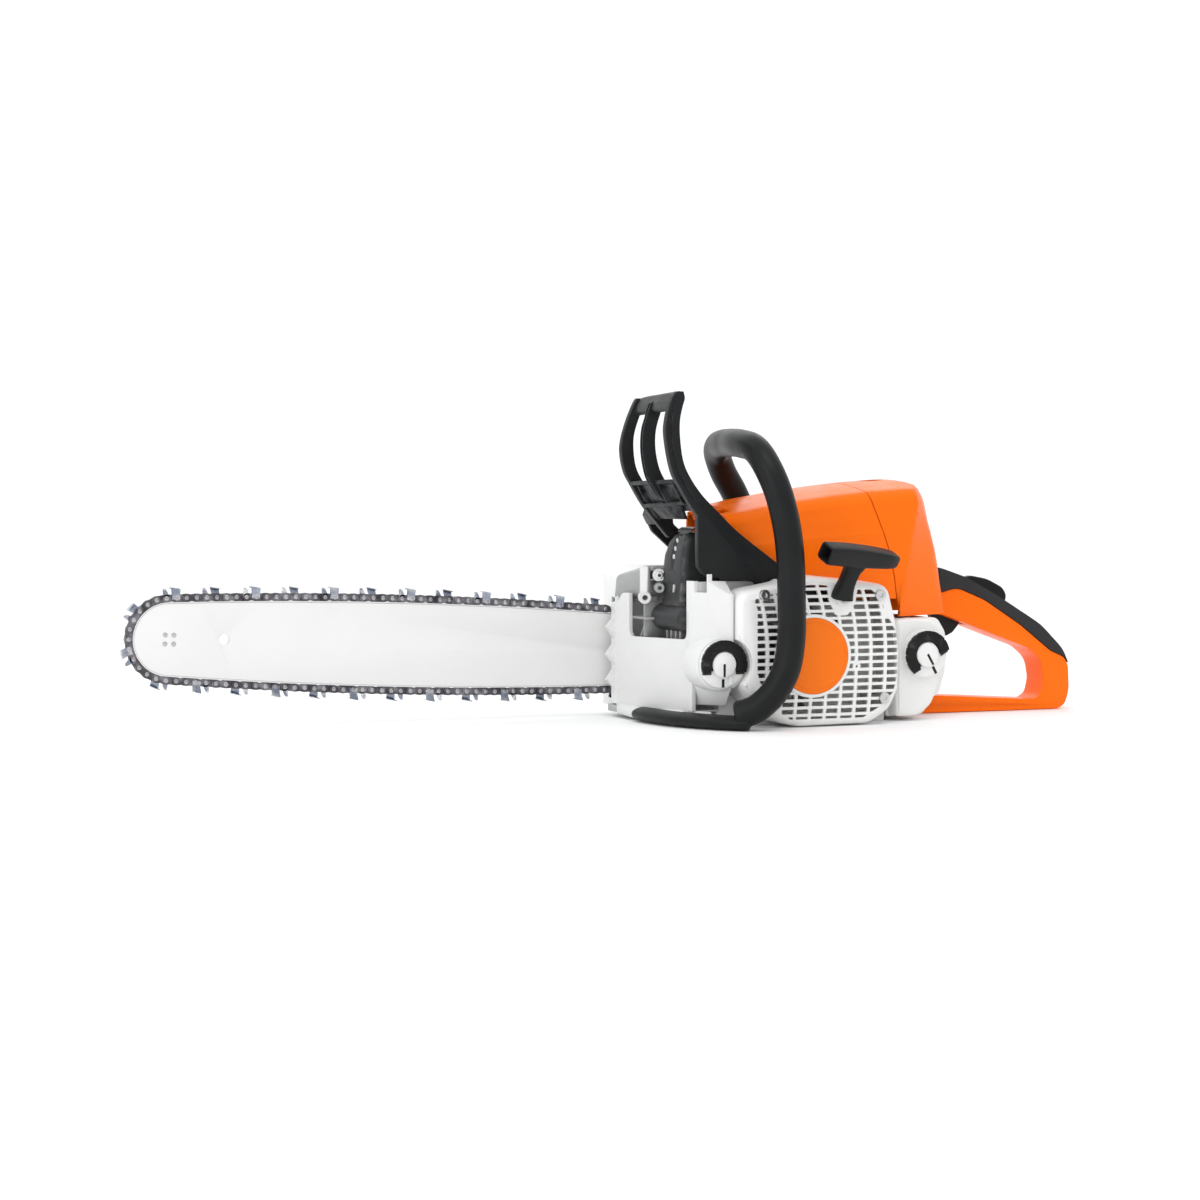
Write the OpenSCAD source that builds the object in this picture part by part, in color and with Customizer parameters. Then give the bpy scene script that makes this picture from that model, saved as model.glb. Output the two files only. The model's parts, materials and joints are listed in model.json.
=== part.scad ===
// Petrol chainsaw, standing on level ground. Millimetres.
// -X points along the guide bar, +X to the rear handle, -Y is the starter side,
// +Y the bar side and +Z is up. The origin is on the flat base, straight below
// the crankshaft axis and on the middle plane of the rear handle.

/* [Guide bar] */
// Distance from the crankshaft axis to the centre of the bar's nose
bar_reach = 491; // [420:1:540]
// Half the width of the bar where it is widest
bar_half_width = 34.5; // [32:0.5:36]
// Radius of the bar's nose
nose_r = 29.5; // [29:0.5:31]
// Angle at which the bar rises towards its tip
bar_tilt = 2.5; // [1.5:0.5:3.5]
// Sideways place of the bar's middle layer
bar_y = 62; // [61.8:0.1:62.2]

/* [Saw chain] */
// Distance from one rivet to the next
chain_pitch = 8.255; // [8.1:0.005:8.4]
// Height of the side straps
strap_h = 6.8; // [6:0.1:7.2]
// Height of a cutter above the straps
cutter_h = 5.2; // [4:0.1:5.5]

/* [Engine] */
// Height of the crankshaft axis above the ground
crank_z = 56; // [55:0.5:57]
// Diameter of the cylinder bore
bore_d = 40; // [38:0.5:41]
// Piston stroke
stroke = 32; // [30:0.5:32]
// Connecting rod length between its pin centres
rod_length = 56; // [56:0.5:57]
// Sideways place of the cylinder axis
engine_y = -8; // [-8.5:0.5:-7.5]
// Radius of the flywheel
flywheel_r = 41; // [38:0.5:42]
// Number of cooling blades on the flywheel
blade_count = 16; // [10:1:20]

/* [Body] */
// Wall thickness of the moulded covers
wall = 2.6; // [2:0.1:3]
// Place of the starter cover's outer face
fan_face_y = -100; // [-101:0.5:-99]
// Height of one opening in the cooling grille
grille_h = 3.3; // [2.5:0.1:4]
// Length of one opening in the cooling grille
grille_w = 9.6; // [7:0.1:10]
// Radius of the round plate on the starter cover
badge_r = 31; // [26:0.5:32]

/* [Handles] */
// Diameter of the front handle tube
tube_d = 23; // [20:0.5:24]
// Width of the rear handle
grip_w = 30; // [28:1:32]

/* [Hidden] */
$fn = 48;
clear = 0.05;
bar_z0 = 51.6;
bar_mid = 290;
bar_tail = 38;
rail_start = 64;
layer_t = 1.1;
core_t = 1.8;
bar_y0 = bar_y - layer_t - core_t / 2;
bar_y1 = bar_y + layer_t + core_t / 2;
rail_r = 15.4;
sprocket_c = [0, crank_z - bar_z0];
stud_u = [60, 88];
stud_r = 4;
crank_r = stroke / 2;
web_r = 26;
web_w = 12;
web_gap = 10.8;
journal_r = 7.5;
bearing_r = 17.5;
bearing_w = 11;
pin_z = crank_z - crank_r + rod_length;
crown_z = pin_z + 16;
deck_z = 86;
shell_y0 = fan_face_y + 38.7;
shell_y1 = 42;
cover_y0 = 52;
cover_y1 = 95;
housing_y0 = fan_face_y + 38.5;
front_top = 110;
rear_top = 100;
pivot = [-23, 113];
oil_cap_at = [-76, 52];
fuel_cap_at = [113.5, 55];
fuel_cap_turn = -30;
trigger_pivot = [160, 92];
lockout_pivot = [192, 106];
lever_pivot = [152, 113];
rope_exit = [27, fan_face_y, 104];
rope_r = 1.6;
screw_at = [[-46, 29], [64, 22], [60, 106], [-44, 107.5]];

// Outlines in X and Z, counter-clockwise
fan_outline = [
    [-59.5, 31], [-44, 11], [-28, 4], [-11, 0], [53, 1], [71, 12], [79, 28], [80, 61], [77, 84],
    [69, 115], [-7, 126], [-33, 123], [-55, 118], [-67, 108], [-67, 60]];
shroud_outline = [
    [-10, 101], [94, 101], [92, 120], [86.5, 143], [78, 166], [69, 189], [66.6, 193.9],
    [-16, 182.6], [-62, 172.5], [-60, 165], [-24, 133], [-11, 124]];
shroud_space = [[-80, 80], [120, 80], [120, 196], [80, 193], [-16, 180], [-80, 165.9]];
cover_outline = [
    [97, 87], [151, 85], [145, 115], [138, 140], [131, 165], [124, 187], [112, 196.5],
    [67.9, 194], [70, 189], [79, 166], [87.5, 143], [93, 120], [95, 101]];
cover_space = [
    [40, 60], [156, 60], [145, 115], [138, 140], [131, 165], [124, 187], [112, 196.5],
    [40, 190.5]];
tank_outline = [
    [86, 3], [118, 3], [124, 8], [124, 16.3], [136, 20], [142, 40], [142, 72],
    [134, 84.5], [86, 84.5]];
filler_outline = [
    [88, 6], [112, 6], [123, 16], [128, 30], [133, 56], [132, 69], [123, 82],
    [104, 84], [88, 82]];
handle_outline = [
    [124.5, 0], [278, 0], [285, 4], [289, 16], [288, 38], [284, 45], [270, 51],
    [240, 74], [205, 96], [178, 107], [163, 103], [147.6, 103], [151.6, 85],
    [165, 84], [179, 79], [220, 64], [245, 54], [257, 43], [260, 26], [257, 13],
    [251, 9], [159, 15], [124.5, 16]];
insert_outline = [
    [147.9, 103.3], [163, 103.3], [178, 107.3], [205, 96.4], [240, 74.4], [270, 51.4],
    [284, 45.4], [288.5, 38.5], [282.5, 52], [260, 74], [220, 98], [186, 116],
    [159, 125], [143.2, 125], [145.5, 115]];
sprocket_cover_outline = [
    [-104, 8], [44, 4], [62, 20], [62, 84], [44, 104], [-40, 112], [-60, 127],
    [-84, 127], [-104, 118]];
bar_pad = [[-108, 32], [-60, 31], [-44, 34], [-44, 76], [-60, 78], [-108, 80]];
spikes = [
    [-106, 14], [-113, 13], [-111, 22], [-120, 32], [-112, 43], [-120, 53],
    [-112, 65], [-120, 76], [-112, 86], [-116, 95], [-106, 98]];
near_arm = [
    [-23, 104], [-14, 109], [-13, 118], [-22, 130], [-77, 178], [-89, 188],
    [-99, 204], [-104, 220], [-107, 238], [-106, 252], [-102, 266], [-106, 271],
    [-112, 270], [-117, 250], [-119, 234], [-115, 216], [-107, 195], [-98, 181],
    [-92, 171], [-92, 133], [-87, 125], [-38, 117]];
upper_arm = [
    [-74, 165], [-77, 178], [-89, 188], [-99, 204], [-104, 220], [-107, 238],
    [-106, 252], [-102, 266], [-106, 271], [-112, 270], [-117, 250], [-119, 234],
    [-115, 216], [-107, 195], [-98, 181], [-90, 168], [-88, 165]];
lower_arm = [
    [-23, 104], [-15, 108], [-13, 118], [-22, 130], [-68, 168], [-72, 180],
    [-84, 180], [-86, 168], [-80, 156], [-34, 116]];
middle_rib = [
    [-91, 190], [-99, 204], [-104, 220], [-107, 238], [-106, 252], [-102, 266],
    [-106, 271], [-112, 270], [-117, 250], [-119, 234], [-115, 216], [-107, 195],
    [-101, 186]];

// Outlines in X and Y, counter-clockwise
front_plan = [[-114, 52], [-92, -62], [-70, -93], [-67.3, -93], [-67.3, 52]];
bay_plan = [[-110, 40], [-91, -58], [-40, -58], [-40, 40]];
oil_plan = [[-109, 46], [-89, -60], [-71, -84], [-70.5, 46]];
cover_plan = [
    [40, shell_y0], [101, shell_y0], [146, -34], [156, -20], [156, 20], [120, 42],
    [40, 42]];

// Section of the top covers in Y and Z, counter-clockwise
cover_section = [
    [shell_y0, 60], [shell_y1, 60], [shell_y1, 178], [36, 188], [16, 195],
    [-20, 195], [-54, 190], [shell_y0, 183]];

// Middle line of the front handle tube
handle_path = [
    [-70, -105.5, 12], [-62, -111, 15], [-54, -115.5, 20], [-43, -119.5, 32],
    [-34, -121.5, 50], [-30, -122, 75], [-30, -122, 104], [-31, -122, 136], [-34, -121, 163],
    [-40, -118, 190], [-46, -108, 212], [-47, -90, 225], [-44, -62, 229],
    [-38, -35, 230], [-30, 0, 230], [-24, 26, 228], [-18, 43, 221],
    [-10, 52, 205], [-1, 54, 188], [6, 54, 168], [10, 54, 142], [10, 54, 109]];
handle_foot = [[-70, -104], [-87, -80], [-101, -38], [-104, 10]];

// ---- Outline functions ----

// Moves every edge of a counter-clockwise outline inwards by d
function inset(p, d) = [
    for (i = [0 : len(p) - 1])
        let (
            b = p[i],
            u = unit(b - p[(i + len(p) - 1) % len(p)]),
            v = unit(p[(i + 1) % len(p)] - b),
            n = [-u[1], u[0]],
            m = [-v[1], v[0]])
        b + d * (n + m) / (1 + n * m)];

function unit(v) = v / norm(v);

// Cuts every corner of a closed outline, once for each pass
function soften(p, passes) = passes == 0 ? p : soften([
    for (i = [0 : len(p) - 1], t = [0.25, 0.75])
        p[i] + (p[(i + 1) % len(p)] - p[i]) * t], passes - 1);

function inside(p, q) = min([
    for (i = [0 : len(p) - 1])
        let (a = p[i], b = p[(i + 1) % len(p)])
        (b[0] - a[0]) * (q[1] - a[1]) - (b[1] - a[1]) * (q[0] - a[0])]) > 0;

// A point on the smooth curve through four points of a path
function curve_point(a, b, c, d, t) =
    0.5 * (2 * b + (c - a) * t + (2 * a - 5 * b + 4 * c - d) * t * t
    + (3 * b - a - 3 * c + d) * t * t * t);

function smooth_path(p, steps) = concat(
    [for (i = [0 : len(p) - 2], k = [0 : steps - 1])
        curve_point(p[max(i - 1, 0)], p[i], p[i + 1], p[min(i + 2, len(p) - 1)], k / steps)],
    [p[len(p) - 1]]);

function bar_half(u) = bar_half_width
    - (bar_half_width - nose_r) * pow((u - bar_mid) / (bar_reach - bar_mid), 2);

// Outline of the bar, moved inwards by d
function bar_outline(d) = concat(
    [[-bar_tail - d, -18], [-bar_tail - d, 18]],
    [for (i = [0 : 12])
        let (u = rail_start + (bar_reach - rail_start) * i / 12)
        [-u, bar_half(u) - d]],
    [for (a = [75 : -15 : -75])
        [-bar_reach - (nose_r - d) * cos(a), (nose_r - d) * sin(a)]],
    [for (i = [12 : -1 : 0])
        let (u = rail_start + (bar_reach - rail_start) * i / 12)
        [-u, d - bar_half(u)]]);

// The chain's loop round the sprocket and the bar, moved outwards from the rails by d
function chain_loop(d) = concat(
    [for (a = [100 : -20 : -100])
        sprocket_c + (rail_r + d) * [cos(a), sin(a)]],
    [for (i = [0 : 12])
        let (u = rail_start + (bar_reach - rail_start) * i / 12)
        [-u, -bar_half(u) - d]],
    [for (a = [-80 : 10 : 80])
        [-bar_reach - (nose_r + d) * cos(a), (nose_r + d) * sin(a)]],
    [for (i = [12 : -1 : 0])
        let (u = rail_start + (bar_reach - rail_start) * i / 12)
        [-u, bar_half(u) + d]]);

// Distance along a closed line to each of its points
function run_lengths(p, i = 0, sum = 0) = i > len(p) ? [] : concat(
    [sum], run_lengths(p, i + 1, sum + norm(p[(i + 1) % len(p)] - p[i % len(p)])));

pitch_line = chain_loop(strap_h / 2);
runs = run_lengths(pitch_line);
loop_length = runs[len(pitch_line)];
drive_links = round(loop_length / (2 * chain_pitch));

// ---- Placing modules ----

module side_plate(outline, y0, y1) {
    translate([0, y1, 0]) rotate([90, 0, 0]) linear_extrude(y1 - y0) polygon(outline);
}

module plan_block(outline, z0, z1) {
    translate([0, 0, z0]) linear_extrude(z1 - z0) polygon(outline);
}

module end_block(outline, x0, x1) {
    translate([x0, 0, 0]) rotate([90, 0, 90]) linear_extrude(x1 - x0) polygon(outline);
}

module disc_y(r, y0, y1, at = [0, crank_z]) {
    translate([at[0], y1, at[1]]) rotate([90, 0, 0]) cylinder(r = r, h = y1 - y0);
}

module ring_y(r, hole, y0, y1, at = [0, crank_z]) {
    difference() {
        disc_y(r, y0, y1, at);
        disc_y(hole, y0 - 1, y1 + 1, at);
    }
}

module span(low, high) {
    translate(low) cube(high - low);
}

module on_bar(y0, y1) {
    translate([0, y1, bar_z0]) rotate([0, bar_tilt, 0]) rotate([90, 0, 0])
        linear_extrude(y1 - y0) children();
}

module on_grip_axis() {
    translate(rope_exit) rotate([27, 7, 0]) children();
}

// ---- Housings ----

module engine_housing() color("whitesmoke") difference() {
    union() {
        plan_block(front_plan, 12, front_top);
        span([-67.3, housing_y0, 0], [84, cover_y0, rear_top]);
        side_plate(bar_pad, cover_y0, bar_y0 - 1.2);
        side_plate(spikes, 46, cover_y0);
        disc_y(22, -88, -66, oil_cap_at);
        for (y = [[-65.3, -50], [34, 42.4]])
            span([-33, y[0], rear_top - 2], [-13, y[1], 123]);
        span([-2, 42.3, rear_top - 1], [22, 51.7, 108.5]);
    }
    plan_block(bay_plan, 66, 130);
    plan_block(oil_plan, 16, 60);
    span([-130, -58, 70], [-88, 36, 130]);
    span([-130, 30, 105], [-62, 60, 130]);
    span([40, -58, 3], [80, 48, 130]);
    span([-64, -56, 3], [-36, 40, 70]);
    for (y = [[-58, -44], [26, 48]]) span([-36, y[0], 3], [38, y[1], rear_top - 3]);
    span([-36, -43, 3], [38, 25, 18]);
    span([-38, -46, deck_z], [42, 34, 130]);
    span([-130, -75.5, 103], [-34, -65.5, 130]);
    span([-60, 42.4, 103], [-6, 60, 130]);
    disc_y(28, -27, 11);
    disc_y(bearing_r, -27 - bearing_w, 11 + bearing_w);
    disc_y(10, -70, 60);
    translate([0, engine_y, crank_z]) cylinder(r = bore_d / 2 + 0.6, h = 60);
    disc_y(16.5, -90, -60, oil_cap_at);
    disc_y(21.8, -100, -88, oil_cap_at);
    disc_y(stud_r, 44, 60, [-stud_u[0], bar_z0 + stud_u[0] * sin(bar_tilt)]);
    disc_y(stud_r, 44, 60, [-stud_u[1], bar_z0 + stud_u[1] * sin(bar_tilt)]);
    disc_y(4, -66, -49, pivot);
    disc_y(4, 33, 43, pivot);
}

module fan_housing() color("white") difference() {
    union() {
        side_plate(fan_outline, fan_face_y + 2, housing_y0);
        side_plate(inset(fan_outline, 2), fan_face_y, fan_face_y + 2);
        ring_y(badge_r + 2, badge_r + 0.2, fan_face_y - 1.2, fan_face_y + 1, [0, 57.6]);
        on_grip_axis() translate([0, 0, -14]) cylinder(r = 9, h = 14);
    }
    difference() {
        side_plate(inset(fan_outline, wall), fan_face_y + wall, 0);
        disc_y(4, fan_face_y, -88.6);
        on_grip_axis() translate([0, 0, -14]) cylinder(r = 9, h = 15);
        disc_y(22.3 + wall, fan_face_y, 0, oil_cap_at);
    }
    disc_y(22.3, fan_face_y - 2, 0, oil_cap_at);
    side_plate([[-90, 102], [-8, 102], [-8, 140], [-90, 140]], -75.5, 0);
    translate([0, fan_face_y + wall + 1, 0]) rotate([90, 0, 0])
        linear_extrude(wall + 3) grille_holes();
    on_grip_axis() translate([0, 0, -20]) cylinder(r = 2.6, h = 40);
    for (p = screw_at) disc_y(2.6, fan_face_y - 1, 0, p);
}

module grille_holes() {
    edge = inset(fan_outline, 5.5);
    for (row = [0 : 19], col = [0 : 11]) {
        x = -58 + col * (grille_w + 2.9);
        z = 5 + row * (grille_h + 2.6);
        far = [for (cx = [x, x + grille_w], cz = [z, z + grille_h]) norm([cx, cz - 57.6])];
        hook = norm([x + grille_w / 2 - rope_exit[0], z - rope_exit[2]]);
        screws = min([for (p = screw_at) norm([x + grille_w / 2, z + grille_h / 2] - p)]);
        fits = min([for (cx = [x, x + grille_w], cz = [z, z + grille_h])
            inside(edge, [cx, cz]) ? 1 : 0]);
        if (fits == 1 && min(far) > badge_r + 3 && hook > 17 && screws > 8.5)
            translate([x, z]) square([grille_w, grille_h]);
    }
}

module badge() color("darkorange") union() {
    disc_y(badge_r, fan_face_y - 1.6, fan_face_y, [0, 57.6]);
    ring_y(badge_r - 3, badge_r - 4, fan_face_y - 2.1, fan_face_y - 1.2, [0, 57.6]);
}

module shroud() color("darkorange") difference() {
    intersection() {
        side_plate(shroud_outline, shell_y0, shell_y1);
        end_block(cover_section, -90, 120);
    }
    intersection() {
        side_plate(shroud_space, shell_y0 + wall, shell_y1 - wall);
        end_block(inset(cover_section, wall), -95, 130);
    }
    span([-90, shell_y0 + wall, 70], [130, shell_y1 - wall, 150]);
}

module carb_cover() color("darkorange") difference() {
    intersection() {
        side_plate(cover_outline, shell_y0, shell_y1);
        end_block(cover_section, 30, 170);
        plan_block(cover_plan, 60, 210);
    }
    intersection() {
        side_plate(inset(cover_space, wall), shell_y0 + wall, shell_y1 - wall);
        end_block(inset(cover_section, wall), 20, 180);
        plan_block(inset(cover_plan, wall), 50, 220);
    }
    translate([100, -4, 180]) cylinder(r = 10.2, h = 30);
    span([85, -50, 70], [130, 34, 95]);
}

module fuel_tank() color("white") difference() {
    union() {
        side_plate(tank_outline, -62, 40);
        side_plate(filler_outline, -76, -61);
        disc_y(21, -77, -70, fuel_cap_at);
    }
    side_plate(inset(tank_outline, 3), -60, 37);
    disc_y(16.5, -80, -58, fuel_cap_at);
}

module sprocket_cover() color("whitesmoke") difference() {
    union() {
        difference() {
            side_plate(sprocket_cover_outline, cover_y0, cover_y1);
            side_plate(inset(sprocket_cover_outline, wall), cover_y0 - 1, cover_y1 - wall);
        }
        side_plate(bar_pad, bar_y1, cover_y1 - 1);
        span([-98, 74, 20], [-84, cover_y1 - 1, 34]);
    }
    span([-120, 40, 11], [-98, 76, 100]);
    span([-120, 40, 0], [-88, 71, 12]);
    side_plate([[20, 0], [54, 0], [54, 12], [20, 12]], 40, 90);
    for (u = stud_u) {
        at = [-u, bar_z0 + u * sin(bar_tilt)];
        disc_y(stud_r + 0.2, 60, 100, at);
        disc_y(10, 86, 100, at);
    }
    translate([-103, 80, 26]) rotate([0, 90, 0]) cylinder(r = 3 + clear, h = 40);
    translate([-110, 80, 26]) rotate([0, 90, 0]) cylinder(r = 5, h = 12);
}

// ---- Handles ----

module front_handle() color("dimgray") union() {
    tube_along(smooth_path(handle_path, 2), tube_d / 2, 16);
    for (i = [0 : len(handle_foot) - 2])
        hull() for (p = [handle_foot[i], handle_foot[i + 1]])
            translate([p[0], p[1], 0]) cylinder(r = 11, h = 11.6, $fn = 32);
}

module tube_along(p, r, sides) {
    last = len(p) - 1;
    rings = [for (i = [0 : last])
        let (
            t = unit(p[min(i + 1, last)] - p[max(i - 1, 0)]),
            n = unit(cross(t, [1, 0, 0])),
            m = cross(t, n))
        for (k = [0 : sides - 1])
            p[i] + r * (cos(360 * k / sides) * n + sin(360 * k / sides) * m)];
    skin = [for (i = [0 : last - 1], k = [0 : sides - 1])
        let (a = i * sides + k, b = i * sides + (k + 1) % sides)
        [b, a, a + sides, b + sides]];
    caps = [[for (k = [0 : sides - 1]) k],
        [for (k = [sides - 1 : -1 : 0]) last * sides + k]];
    polyhedron(rings, concat(skin, caps));
}

module rear_handle() color("darkorange") difference() {
    side_plate(handle_outline, -grip_w / 2, grip_w / 2);
    span([153, -5.5, 60], [192, 5.5, 101.5]);
    side_plate([[184, 94], [238, 70], [238, 130], [184, 130]], -4.6, 4.6);
    disc_y(2.5 + clear, -8, 8, trigger_pivot);
}

module handle_insert() color("dimgray") difference() {
    side_plate(insert_outline, -grip_w / 2 - 0.8, grip_w / 2 + 0.8);
    side_plate([[184, 94], [238, 70], [238, 130], [184, 130]], -4.6, 4.6);
    disc_y(2.5 + clear, -8, 8, lockout_pivot);
}

module hand_guard() color("dimgray") difference() {
    union() {
        side_plate(near_arm, -74, -67);
        translate([4, 0, 0]) side_plate(upper_arm, 21, 28);
        side_plate(lower_arm, 43.5, 48.5);
        side_plate([[-72, 165], [-72, 180], [-84, 180], [-88, 170], [-84, 165]], 21, 48.5);
        side_plate(middle_rib, -26, -21);
        side_plate([[-101, 256], [-98, 266], [-102, 271], [-110, 270], [-114, 256]], -67, 21);
        side_plate([[-97, 201], [-101, 208], [-110, 208], [-107, 199]], -67, 21);
        side_plate([[-82, 177], [-86, 184], [-96, 184], [-91, 177]], -67, 21);
        side_plate([[-107, 207], [-110, 207], [-93, 180], [-90, 180]], -67, 21);
    }
    disc_y(4 + clear, -90, 90, pivot);
    side_plate(inset([[-96, 250], [-101, 228], [-92, 204], [-78, 186], [-36, 148], [-36, 126],
        [-84, 134], [-84, 170], [-110, 218], [-112, 250]], 3), -80, -71);
}

module starter_grip() color("dimgray") difference() {
    on_grip_axis() union() {
        translate([0, 0, 39]) rotate([0, 5.5, 15]) side_plate(soften([
            [-36, -8], [12, -8], [37, -6], [37, 5], [20, 7.5], [-10, 8.5], [-36, 8]], 1), -8, 8);
        side_plate([[-12, 0.4], [8, 0.4], [5, 12], [6, 26], [14, 36], [-16, 36], [-8, 26],
            [-9, 12]], -6, 6);
    }
    on_grip_axis() translate([0, 0, 39]) rotate([0, 5.5, 15])
        translate([-40, -5.5, -4.5]) cube([28, 11, 9]);
    on_grip_axis() translate([0, 0, -1]) cylinder(r = 2.4, h = 27);
    span([0, fan_face_y - 0.35, 90], [60, -80, 130]);
}

// ---- Guide bar and chain ----

module guide_bar() color("white") difference() {
    union() {
        on_bar(bar_y0, bar_y0 + layer_t) polygon(bar_outline(0));
        on_bar(bar_y1 - layer_t, bar_y1) polygon(bar_outline(0));
    }
    on_bar(bar_y0 - 1, bar_y1 + 1) bar_holes();
    on_bar(bar_y0 - 1, bar_y1 + 1) nose_rivet_places() circle(r = 2);
}

module bar_core() color("silver") difference() {
    on_bar(bar_y0 + layer_t, bar_y1 - layer_t) polygon(bar_outline(7));
    on_bar(bar_y0 - 1, bar_y1 + 1) union() {
        bar_holes();
        translate([-bar_reach, 0]) circle(r = nose_r + 1);
    }
}

module bar_holes() {
    for (end = [56, 104]) translate([-end, 0]) circle(r = 4.2);
    translate([-104, -4.2]) square([48, 8.4]);
    for (v = [-19, 19]) translate([-64, v]) circle(r = 3);
    translate([-446, 1]) circle(r = 4.3);
}

module nose_rivet_places() {
    for (a = [45 : 90 : 315])
        translate([-bar_reach + 5 * cos(a), 5 * sin(a)]) children();
}

module nose_rivets() color("silver") union() {
    on_bar(bar_y0 - 0.2, bar_y1 + 0.2) nose_rivet_places() circle(r = 2);
    on_bar(bar_y0 + layer_t, bar_y1 - layer_t) translate([-bar_reach, 0]) circle(r = 8);
}

module nose_sprocket() color("gray") on_bar(bar_y - 0.6, bar_y + 0.6)
translate([-bar_reach, 0]) difference() {
    polygon([for (k = [0 : 11], t = [[-6, 24.6], [6, 24.6], [11, 19.5], [19, 19.5]])
        let (a = 30 * k + t[0]) t[1] * [cos(a), sin(a)]]);
    circle(r = 8 + clear);
}

module saw_chain() color("dimgray") union() {
    on_bar(bar_y - 2.4, bar_y + 2.4) difference() {
        polygon(chain_loop(strap_h));
        polygon(chain_loop(0.15));
    }
    on_bar(bar_y - 0.6, bar_y + 0.6) difference() {
        polygon(chain_loop(0.6));
        polygon(chain_loop(-4.5));
    }
    for (k = [0 : floor(drive_links / 2) - 1]) {
        side = k % 2 == 0 ? -1 : 1;
        on_bar(bar_y + side * 1.4 - 2.3, bar_y + side * 1.4 + 2.3)
            on_loop(k * 4 * chain_pitch) cutter_profile();
    }
}

module on_loop(s) {
    i = max([for (j = [0 : len(pitch_line) - 1]) runs[j] <= s ? j : 0]);
    a = pitch_line[i];
    b = pitch_line[(i + 1) % len(pitch_line)];
    t = unit(b - a);
    translate(a + t * (s - runs[i])) rotate(atan2(t[1], t[0])) children();
}

// Side view of one cutter: its rear half, its top plate and the depth gauge before it
module cutter_profile() {
    low = strap_h / 2 - 0.8;
    top = strap_h / 2 + cutter_h;
    polygon([[7, low], [-7, low], [-7, top - 0.8], [-4.4, top - 0.6], [-3, low + 1],
        [-1, low + 1], [0, top], [7.5, top - 0.9]]);
}

module bar_studs() color("silver") for (u = stud_u)
    disc_y(stud_r, 44, 95, [-u, bar_z0 + u * sin(bar_tilt)]);

module cover_nuts() color("silver") for (u = stud_u) {
    at = [-u, bar_z0 + u * sin(bar_tilt)];
    difference() {
        union() {
            disc_y(9, 86, 88, at);
            translate([at[0], 93.5, at[1]]) rotate([90, 0, 0]) cylinder(r = 7.5, h = 6, $fn = 6);
        }
        disc_y(stud_r, 80, 100, at);
    }
}

module bar_plate() color("silver") difference() {
    side_plate(bar_pad, bar_y0 - 1.2, bar_y0);
    for (u = stud_u) disc_y(stud_r, 50, 70, [-u, bar_z0 + u * sin(bar_tilt)]);
}

module tension_screw() color("silver") translate([-102.2, 80, 26]) rotate([0, 90, 0]) difference() {
    union() {
        cylinder(r = 4.6, h = 4);
        cylinder(r = 3, h = 34);
    }
    translate([-3.6, -0.6, -1]) cube([7.2, 1.2, 3]);
}

module chain_catcher() color("silver") union() {
    span([-110, 46, 4], [-93, 70, 10]);
    span([-110, 46, 9], [-93, 52, 12]);
}

module brake_band() color("silver") translate([0, 72, crank_z]) rotate([-90, 0, 0])
    rotate([0, 0, 200]) rotate_extrude(angle = 300) translate([36.6, 0]) square([1.2, 12]);

module clutch_drum() color("gray") difference() {
    union() {
        disc_y(35, 69, 87);
        disc_y(15, 55.5, 70);
    }
    disc_y(33, 71, 88);
    ring_y(20, 10, bar_y - 1, bar_y + 1);
    disc_y(7.2, 50, 90);
    for (k = [0 : 6]) rotate_about_crank(360 * k / 7) disc_y(2.6, 50, 68.5, [0, crank_z + 15.6]);
}

module rotate_about_crank(a) {
    translate([0, 0, crank_z]) rotate([0, a, 0]) translate([0, 0, -crank_z]) children();
}

module drum_bearing() color("silver") ring_y(7.2, 5 + clear, 56, 70.5);

// ---- Engine ----

module cylinder_body() {
    difference() {
        union() {
            translate([0, engine_y, deck_z]) cylinder(r = 24.5, h = 74);
            span([-27, engine_y - 27, deck_z], [27, engine_y + 27, deck_z + 5]);
            for (k = [0 : 11])
                span([-31, engine_y - 30, 97 + 5.5 * k], [31, engine_y + 30, 99 + 5.5 * k]);
            span([-58, engine_y - 10, 106], [-22, engine_y + 10, 126]);
            span([22, engine_y - 11, 94], [36, engine_y + 11, 114]);
        }
        translate([0, engine_y, deck_z - 1]) cylinder(r = bore_d / 2 + clear, h = 61);
        span([-59, engine_y - 7, 110], [-19, engine_y + 7, 122]);
        translate([18, engine_y, 104]) rotate([0, 90, 0]) cylinder(r = 8, h = 20);
        plug_axis() translate([0, 0, 10]) cylinder(r = 11, h = 40);
        plug_axis() translate([0, 0, -6]) cylinder(r = 6, h = 30);
    }
}

module cylinder_node() color("silver") cylinder_body();

module plug_axis() {
    translate([0, engine_y, 154]) rotate([50, 0, 0]) children();
}

module spark_plug() color("white") plug_axis() union() {
    translate([0, 0, -4]) cylinder(r = 6, h = 15);
    translate([0, 0, 11]) cylinder(r = 8.8, h = 6, $fn = 6);
    translate([0, 0, 17]) cylinder(r = 5, h = 12);
}

module plug_boot() color("dimgray") plug_axis() difference() {
    union() {
        translate([0, 0, 18]) cylinder(r = 8, h = 13);
        translate([-6, -6, 23]) cube([28, 12, 8]);
    }
    translate([0, 0, 15]) cylinder(r = 5, h = 14);
}

module muffler() color("dimgray") difference() {
    union() {
        side_plate(soften([[-60, 98], [-60, 152], [-66, 156], [-86, 156], [-92, 148], [-94, 122],
            [-92, 98]], 1), -50, -4);
        disc_y(11, -56, 8, [-88, 87]);
        ring_y(13, 4, -10, -6, [-90, 110]);
    }
    side_plate([[-62, 101], [-62, 149], [-84, 152], [-90, 145], [-90, 101]], -48, -6);
    disc_y(9.5, -54, 6, [-88, 87]);
    span([-70, engine_y - 6, 111], [-58, engine_y + 6, 121]);
}

module muffler_shield() color("silver")
    side_plate([[-62, 159], [-62, 160.5], [-87, 161.3], [-92, 158], [-91, 156.8], [-86.5, 160]],
        -54, -28);

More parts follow.
